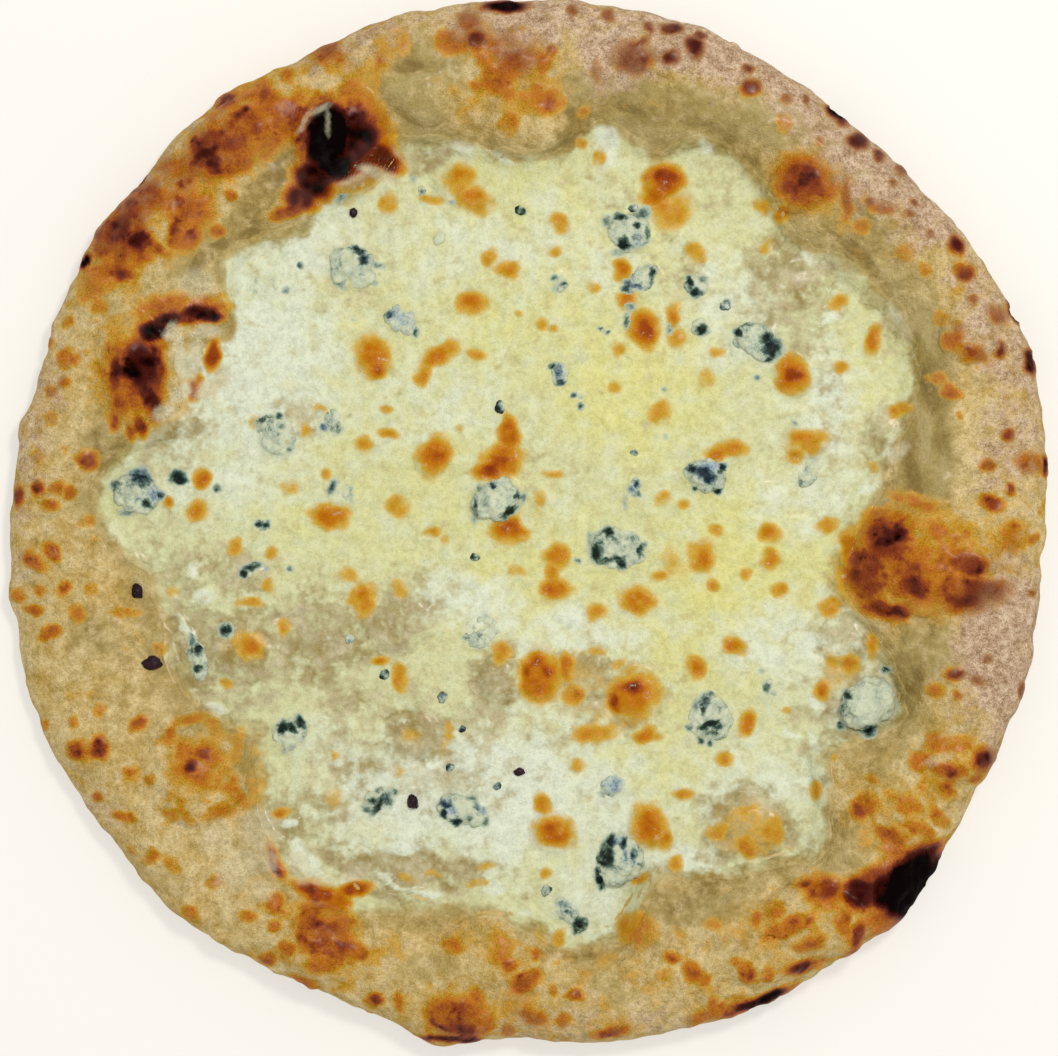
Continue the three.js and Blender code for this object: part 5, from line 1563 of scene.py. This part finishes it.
@dataclass(frozen=True)
class MeltedCheese:
    """The layer of melted cheeses, which laps onto the rim's foot."""

    form: PizzaForm
    ring_step: float = 0.8
    film: float = 0.1
    film_growth: float = 1.0
    film_reach: float = 7.0
    edge_drop: float = 1.2
    edge_reach: float = 6.0
    on_dough_reach: float = 12.0
    blend: float = 1.6
    tuck: tuple[float, float] = (1.003, 0.4)  # How the hidden edge is widened and lowered.
    lining_depth: float = 0.3
    lined_rings: int = 22
    foot_share: float = 0.97
    # The hidden rings inside the foot: how many times each is halved, and its share of the foot.
    closing: tuple[tuple[int, float], ...] = ((3, 0.2), (2, 0.5), (1, 0.8))
    # The rings get half as many points each time that their share falls below one of these.
    halvings: tuple[float, ...] = (0.62, 0.31, 0.155, 0.078)
    last_share: float = 0.02
    outline_waves: Layers = (Layer(2.0, 9, 31), Layer(1.1, 4, 32))
    lumps: Layers = (
        Layer(0.5, 15, 33), Layer(0.36, 6.5, 34), Layer(0.22, 3, 35), Layer(0.1, 1.5, 36)
    )
    hollow: float = 1.4
    hollow_push: Layer = Layer(1.6, 5, 49)
    hollow_breaks: Layer = Layer(1, 7, 50, 2)
    lip_push: Layer = Layer(0.6, 3, 47)
    lip_mould: Layer = Layer(0.16, 3, 46, 2)
    edge_waves: Layer = Layer(4, 9, 45, 3)
    bare_waves: Layer = Layer(1.6, 5, 48, 2)
    drawn_up: Patches = Patches(STRANDS, Layer(0.7, 4, 44), 0.5, 0.7)
    spots: Patches = Patches(CHEESE_BROWNING, Layer(1.0, 5, 21), 1.3, 0.85)
    spot_mottle: Layer = Layer(0.22, 3.4, 38, 2)
    buttery: Patches = Patches(BUTTERY, Layer(5, 16, 40), 8, 0.8)
    milky: Patches = Patches(MILKY, Layer(5, 16, 40), 8, 0.8)
    clear: Patches = Patches(CLEAR, Layer(3, 8, 43), 3, 0.85)
    blue_push: Layer = Layer(0.35, 1.4, 39)

    def outline(self) -> Array:
        """The layer's edge, as a radius for each spoke, with its small tongues and bays."""
        degrees = self.form.degrees
        edge = closed_curve(CHEESE_OUTLINE, degrees)
        turn = np.radians(degrees)
        around = np.column_stack([edge * np.cos(turn), edge * np.sin(turn), np.zeros_like(edge)])
        return edge + swell(FILM_SWELLS, degrees) + uneven(around, *self.outline_waves)

    def rings(self) -> tuple[list[Array], list[Array]]:
        """The layer's top, ring by ring from its edge to its middle.

        Returns:
            The rings as [x, y] points, and how far each point lies inside the edge.
        """
        edge = self.outline()
        turn = np.radians(self.form.degrees)
        rings, depths = [], []
        mean = float(edge.mean())
        share, count = 1.0, self.form.spokes
        halvings = list(self.halvings)
        while share > self.last_share:
            if halvings and share < halvings[0]:
                halvings.pop(0)
                count //= 2
            every = self.form.spokes // count
            radius = (edge[::every] - mean) * share**3 + mean * share
            at = turn[::every]
            rings.append(np.column_stack([radius * np.cos(at), radius * np.sin(at)]))
            depths.append(edge[::every] - radius)
            share -= self.ring_step / mean
        return rings, depths

    def relief(self, points: Array, browning: Array) -> Array:
        """Height of the melted surface's fine relief."""
        raised = 0.35 * smooth_step(0.2, 0.8, browning) + 0.9 * self.lips(points)
        raised += uneven(points, *self.lumps)
        return raised + self.drawn_up.at(points) - 0.3 * self.hollows(points)

    def hollows(self, points: Array) -> Array:
        """The hollow that runs round each blister, broken here and there, from 0 to 1."""
        deepest = np.zeros(len(points))
        pushed = warped(points, self.hollow_push)
        for spot in map(Spot.read, CHEESE_BLISTERS):
            near = spot.near(pushed, 4 * self.hollow)
            away = (spot.share(pushed[near]) - 1) * min(spot.length, spot.width) / self.hollow
            deepest[near] = np.maximum(deepest[near], np.exp(-(away**2)))
        return deepest * smooth_step(-0.35, 0.3, uneven(points, self.hollow_breaks))

    def browning(self, points: Array, depth: Array) -> Array:
        """Browning of the layer, which takes on the rim's near its edge."""
        spots = self.spots.at(points) * (1.04 + uneven(points, self.spot_mottle))
        return np.maximum(spots, self.form.browning(points) * smooth_step(18, 8, depth))

    def fields(self, points: Array, depth: Array) -> Fields:
        """What the material needs at each point, given the depth inside the layer's edge."""
        strands = smooth_step(0.1, 0.7, self.drawn_up.at(points))
        at_edge = smooth_step(7, 0, depth + uneven(points, self.edge_waves))
        clear = self.clear.at(points)
        hollows = self.hollows(points) * np.minimum(2 * clear, 1)
        lip_mould = self.lips(points) * (0.08 + uneven(points, self.lip_mould))
        return {
            Field.BROWNING: self.browning(points, depth),
            Field.BUTTER: self.buttery.at(points),
            # The strands' milky white is partly painted highlight.
            Field.MILK: np.maximum(self.milky.at(points), 0.8 * strands),
            Field.CLEAR: clear * (1 - 0.7 * strands),
            # The hollows round the blisters take the edge's olive, a painted shade.
            Field.EDGE: np.maximum(at_edge, 0.75 * hollows) * (1 - 0.7 * strands),
            Field.BARE: smooth_step(3.6, 0.4, depth + uneven(points, self.bare_waves)),
            Field.OIL: self.form.oil(points),
            Field.FLOUR: self.form.flour(points),
            Field.VEIL: self.form.veil(points),
            Field.FOLD: self.form.folds(points),
            Field.MOULD: np.maximum(mould(points), lip_mould),
            Field.BLUENESS: blueness(warped(points, self.blue_push)),
        }

    def lips(self, points: Array) -> Array:
        """Where the layer draws up round the crumbles, from 0 to 1."""
        return Patches(crumble_places(), self.lip_push, 2.2, 0.3).at(points)

    def build(self, material: Material, dough: BVHTree) -> tuple[bpy.types.Object, BVHTree]:
        """Makes the layer on the dough.

        Returns:
            The piece, and a tree for finding its height in millimetres.
        """
        flat_rings, depths = self.rings()
        depth = np.concatenate(depths)
        points = self.surface(np.vstack(flat_rings), depth, dough)
        fields = self.fields(points, depth)
        sizes = [len(ring) for ring in flat_rings]
        rings = np.split(points, np.cumsum(sizes)[:-1])
        under = self.lining(rings)
        joined, faces = join_rings(under + rings)
        hidden = sum(len(ring) for ring in under)
        for name, values in fields.items():
            fields[name] = np.concatenate([np.zeros(hidden), values, np.zeros(2)])
        fields[Field.EDGE][:hidden] = 1
        fields[Field.BARE][:hidden] = 1
        piece = make_piece(
            "melted_layer", joined, faces, fields, material, ["melted_cheese"]
        )
        return piece, BVHTree.FromPolygons(joined.tolist(), faces.tolist())

    def surface(self, flat: Array, depth: Array, dough: BVHTree) -> Array:
        """Lays the layer on the base, and as a thin film on the dough where it laps onto the rim.

        Args:
            flat: [x, y] of each point.
            depth: how far each point lies inside the layer's edge.
            dough: a tree for finding the dough's height.
        """
        points = np.column_stack([flat, np.zeros(len(flat))])
        relief = self.relief(points, self.browning(points, depth))
        melt = self.form.melt(flat[:, 0], flat[:, 1]) + relief
        melt = melt - self.edge_drop * smooth_step(self.edge_reach, 0, depth)
        on_dough = np.full(len(flat), NO_DOUGH)
        for index in np.flatnonzero(depth < CHEESE_LAP + self.on_dough_reach):
            on_dough[index] = height_of(dough, flat[index, 0], flat[index, 1], NO_DOUGH)
        film = self.film + self.film_growth * smooth_step(0, self.film_reach, depth)
        points[:, 2] = smooth_most(melt, on_dough + film, self.blend)
        return points

    def lining(self, rings: list[Array]) -> list[Array]:
        """The hidden rings under the layer, from the middle of its flat foot out to its edge."""
        widened, lowered = self.tuck
        tucked = rings[0] * (widened, widened, 1) - (0, 0, lowered)
        lining = [ring - (0, 0, self.lining_depth) for ring in rings[1 : self.lined_rings : 2]]
        foot = lining[-1] * (self.foot_share, self.foot_share, 0) + (0, 0, BASE_THICKNESS + GAP)
        closing = [foot[:: 2**halved] * (share, share, 1) for halved, share in self.closing]
        return closing + [foot] + lining[::-1] + [tucked]


def crumble_places() -> Rows:
    """The ground that each crumble covers, as soft oval marks."""
    rows = []
    for name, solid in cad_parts.items():
        if name.startswith("blue_cheese"):
            places = np.array([vertex.co for vertex in solid.data.vertices]) / MM
            low, high = places.min(axis=0), places.max(axis=0)
            x, y = (low + high)[:2] / 2
            length, width = (high - low)[:2] / 2
            rows.append((x, y, length, width, 0, 1))
    return rows


MOULDY = Patches(MOULD, Layer(0.5, 1.3, 39), 1.1, 1.0)
MOULD_MOTTLE = Layer(0.35, 1.6, 55, 2)


def mould(points: Array) -> Array:
    """How mouldy the blue cheese is at each point, patchy within each mark."""
    return MOULDY.at(points) * (1.16 + uneven(points, MOULD_MOTTLE))


def blueness(points: Array) -> Array:
    """How blue, and not green, the mould is at each point."""
    rows = [(*row[:5], row[6]) for row in MOULD if len(row) == 7]
    return marks(points, rows, 0.8, 0.6)


@dataclass(frozen=True)
class BlueCrumbles:
    """The crumbles of blue cheese, one piece for each solid, and the crumbs that fell beside them."""

    levels: int = 3
    crag: Layers = (Layer(0.7, 3.6, 51), Layer(0.55, 1.7, 52), Layer(0.3, 0.8, 53))
    tinge: Layer = Layer(0.2, 2.6, 56, 2)
    crumb_mould: Layer = Layer(0.7, 1.5, 62, 2)
    crumb_blueness: Layer = Layer(0.4, 5, 63)

    def fields(self, points: Array) -> Fields:
        """Mould at each point."""
        tinged = 0.19 + uneven(points, self.tinge)
        return {Field.MOULD: np.maximum(mould(points), tinged), Field.BLUENESS: blueness(points)}

    def build(self, node: str, material: Material) -> bpy.types.Object:
        """Makes one crumble by refining its solid."""
        points, normals, faces = refined(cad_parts[node].data, self.levels)
        fields = self.fields(points)
        sunk = 0.35 * smooth_step(0.3, 0.9, fields[Field.MOULD])
        points = points + normals * (0.3 + uneven(points, *self.crag) - sunk)[:, None]
        name = node.replace("blue_cheese", "blue_crumble")
        return make_piece(name, points, faces, fields, material, [node])

    def build_crumbs(self, material: Material, layer: BVHTree) -> bpy.types.Object:
        """Makes the crumbs as one piece."""
        points, faces = Lumps(seed=61, rise=0.5).build(BLUE_CRUMBS, layer)
        share = np.repeat([row[3] for row in BLUE_CRUMBS], len(points) // len(BLUE_CRUMBS))
        fields = {
            Field.MOULD: share * (0.8 + uneven(points, self.crumb_mould)),
            Field.BLUENESS: 0.2 + uneven(points, self.crumb_blueness),
        }
        return make_piece("blue_crumbs", points, faces, fields, material)


def refined(mesh: bpy.types.Mesh, levels: int) -> tuple[Array, Array, list]:
    """A smooth, finely divided copy of a solid's mesh.

    Returns:
        Its points in millimetres, their normals and its faces.
    """
    copy = bpy.data.meshes.new("refined")
    build = bmesh.new()
    build.from_mesh(mesh)
    bmesh.ops.remove_doubles(build, verts=build.verts, dist=1e-6)
    build.to_mesh(copy)
    build.free()
    holder = bpy.data.objects.new("refined", copy)
    bpy.context.scene.collection.objects.link(holder)
    modifier = holder.modifiers.new("smooth", "SUBSURF")
    modifier.levels = modifier.render_levels = levels
    evaluated = holder.evaluated_get(bpy.context.evaluated_depsgraph_get())
    smooth = evaluated.to_mesh()
    points = np.zeros(len(smooth.vertices) * 3)
    smooth.vertices.foreach_get("co", points)
    normals = np.zeros_like(points)
    smooth.vertex_normals.foreach_get("vector", normals)
    faces = [tuple(face.vertices) for face in smooth.polygons]
    evaluated.to_mesh_clear()
    bpy.data.objects.remove(holder)
    bpy.data.meshes.remove(copy)
    return points.reshape(-1, 3) / MM, normals.reshape(-1, 3), faces


@dataclass(frozen=True)
class Lumps:
    """Rough lumps that lie on a surface, joined into one mesh.

    Attributes:
        seed: picks one pattern out of many.
        rise, squeeze: height and width across, as shares of the width along.
        sunk: how deep a lump sinks in, as a share of half its width.
        roughness, grain: how much and how finely a ball of three millimetres is roughened.
    """

    seed: int
    rise: float
    squeeze: float = 0.8
    sunk: float = 0.55
    roughness: float = 0.3
    grain: float = 2.2
    levels: int = 3

    def build(self, rows: Rows, ground: BVHTree) -> tuple[Array, Array]:
        """Makes the lumps from rows that begin with x, y and width, as points and triangles."""
        ball, triangles = self.ball()
        draw = np.random.default_rng(self.seed)
        points, faces = [], []
        for number, (x, y, width, *_) in enumerate(rows):
            half = width / 2
            turn = draw.uniform(0, math.tau)
            swelling = Layer(self.roughness, self.grain, self.seed, 2)
            rough = 1 + uneven(ball * 3 + 40 * number, swelling)
            lump = ball * rough[:, None] * (half, half * self.squeeze, half * self.rise)
            cos, sin = math.cos(turn), math.sin(turn)
            lump = lump @ np.array([[cos, sin, 0], [-sin, cos, 0], [0, 0, 1]])
            middle = height_of(ground, x, y, CHEESE_TOP) + half * (self.rise - self.sunk)
            points.append(lump + (x, y, middle))
            faces.append(triangles + number * len(ball))
        return np.vstack(points), np.vstack(faces)

    def ball(self) -> tuple[Array, Array]:
        """The points and triangles of a ball one millimetre in radius."""
        build = bmesh.new()
        bmesh.ops.create_icosphere(build, subdivisions=self.levels, radius=1)
        points = np.array([vertex.co for vertex in build.verts])
        triangles = np.array([[vertex.index for vertex in face.verts] for face in build.faces])
        build.free()
        return points, triangles


@dataclass(frozen=True)
class CrackedPepper:
    """The few pieces of pepper."""

    shape: Lumps = Lumps(seed=71, rise=0.75)

    def build(
        self, name: str, rows: Rows, ground: BVHTree, material: Material, slot: Finish
    ) -> bpy.types.Object:
        """Makes the pieces that lie on one surface."""
        points, faces = self.shape.build(rows, ground)
        return make_piece(name, points, faces, {}, material)


# ---- The studio ----


@dataclass(frozen=True)
class Studio:
    """A pale floor, a pale dome of light, one soft light and the camera, in millimetres."""

    view_middle: tuple[float, float, float] = (0.75, -1.65, 8.0)
    view_width: float = 317.4
    lens: float = 120.0
    sensor: float = 36.0
    floor_half: float = 3000.0
    floor_drop: float = 0.3
    floor_colour: RGB = (253, 250, 243)
    floor_shade: float = 0.4
    floor_glow: float = 0.53
    floor_roughness: float = 0.9
    dome_colour: RGB = (252, 251, 250)
    dome_strength: float = 0.84
    light_colour: RGB = (255, 250, 240)
    light_power: float = 6.0
    light_size: float = 200.0
    light_place: tuple[float, float, float] = (300.0, 380.0, 1050.0)

    def build(self) -> None:
        """Sets up the floor, the lights and the camera."""
        bpy.context.scene.view_settings.view_transform = "Standard"
        self.build_floor()
        self.build_dome()
        self.build_light()
        self.build_camera()

    def build_floor(self) -> None:
        """A pale floor just under the pizza."""
        mesh = bpy.data.meshes.new("floor")
        half, height = self.floor_half * MM, -self.floor_drop * MM
        corners = [(x * half, y * half, height) for x, y in ((-1, -1), (1, -1), (1, 1), (-1, 1))]
        mesh.from_pydata(corners, [], [(0, 1, 2, 3)])
        material, graph, shader = new_material("pale_floor")
        colour = linear(self.floor_colour)
        graph.fill(
            shader,
            Base_Color=(*(channel * self.floor_shade for channel in colour[:3]), 1),
            Roughness=self.floor_roughness,
            Emission_Color=colour,
            Emission_Strength=self.floor_glow,
        )
        mesh.materials.append(material)
        floor = bpy.data.objects.new("floor", mesh)
        bpy.context.scene.collection.objects.link(floor)

    def build_dome(self) -> None:
        """A plain pale sky."""
        world = bpy.data.worlds.new("dome")
        world.use_nodes = True
        background = world.node_tree.nodes["Background"]
        background.inputs["Color"].default_value = linear(self.dome_colour)
        background.inputs["Strength"].default_value = self.dome_strength
        bpy.context.scene.world = world

    def build_light(self) -> None:
        """A large soft light from the upper right."""
        data = bpy.data.lights.new("soft_light", "AREA")
        data.shape = "DISK"
        data.size = self.light_size * MM
        data.energy = self.light_power
        data.color = linear(self.light_colour)[:3]
        light = bpy.data.objects.new("soft_light", data)
        light.location = Vector(self.light_place) * MM
        light.rotation_euler = (-light.location).to_track_quat("-Z", "Y").to_euler()
        bpy.context.scene.collection.objects.link(light)

    def build_camera(self) -> None:
        """A camera that looks straight down, as the photograph does."""
        data = bpy.data.cameras.new("camera")
        data.lens = self.lens
        data.sensor_width = self.sensor
        camera = bpy.data.objects.new("camera", data)
        x, y, z = self.view_middle
        camera.location = Vector((x, y, z + self.view_width * self.lens / self.sensor)) * MM
        bpy.context.scene.collection.objects.link(camera)
        bpy.context.scene.camera = camera


def main() -> None:
    """Builds the pizza's pieces in order, then the studio."""
    effects = Effects()
    form = PizzaForm()
    crust_material = CrustFinish().make(effects)
    cheese_material = CheeseFinish().make(effects)
    blue_material = BlueCheeseFinish().make(effects)
    pepper_material = PepperFinish().make(effects)
    _, dough = BakedCrust(form).build(crust_material)
    _, layer = MeltedCheese(form).build(cheese_material, dough)
    crumbles = BlueCrumbles()
    for node in sorted(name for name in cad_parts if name.startswith("blue_cheese")):
        crumbles.build(node, blue_material)
    crumbles.build_crumbs(blue_material, layer)
    pepper = CrackedPepper()
    pepper.build("pepper_on_cheese", PEPPER_ON_CHEESE, layer, pepper_material, Finish.CHEESE)
    pepper.build("pepper_on_dough", PEPPER_ON_DOUGH, dough, pepper_material, Finish.CRUST)
    Studio().build()


if __name__ == "__main__":
    logging.basicConfig(level=logging.INFO)
    main()
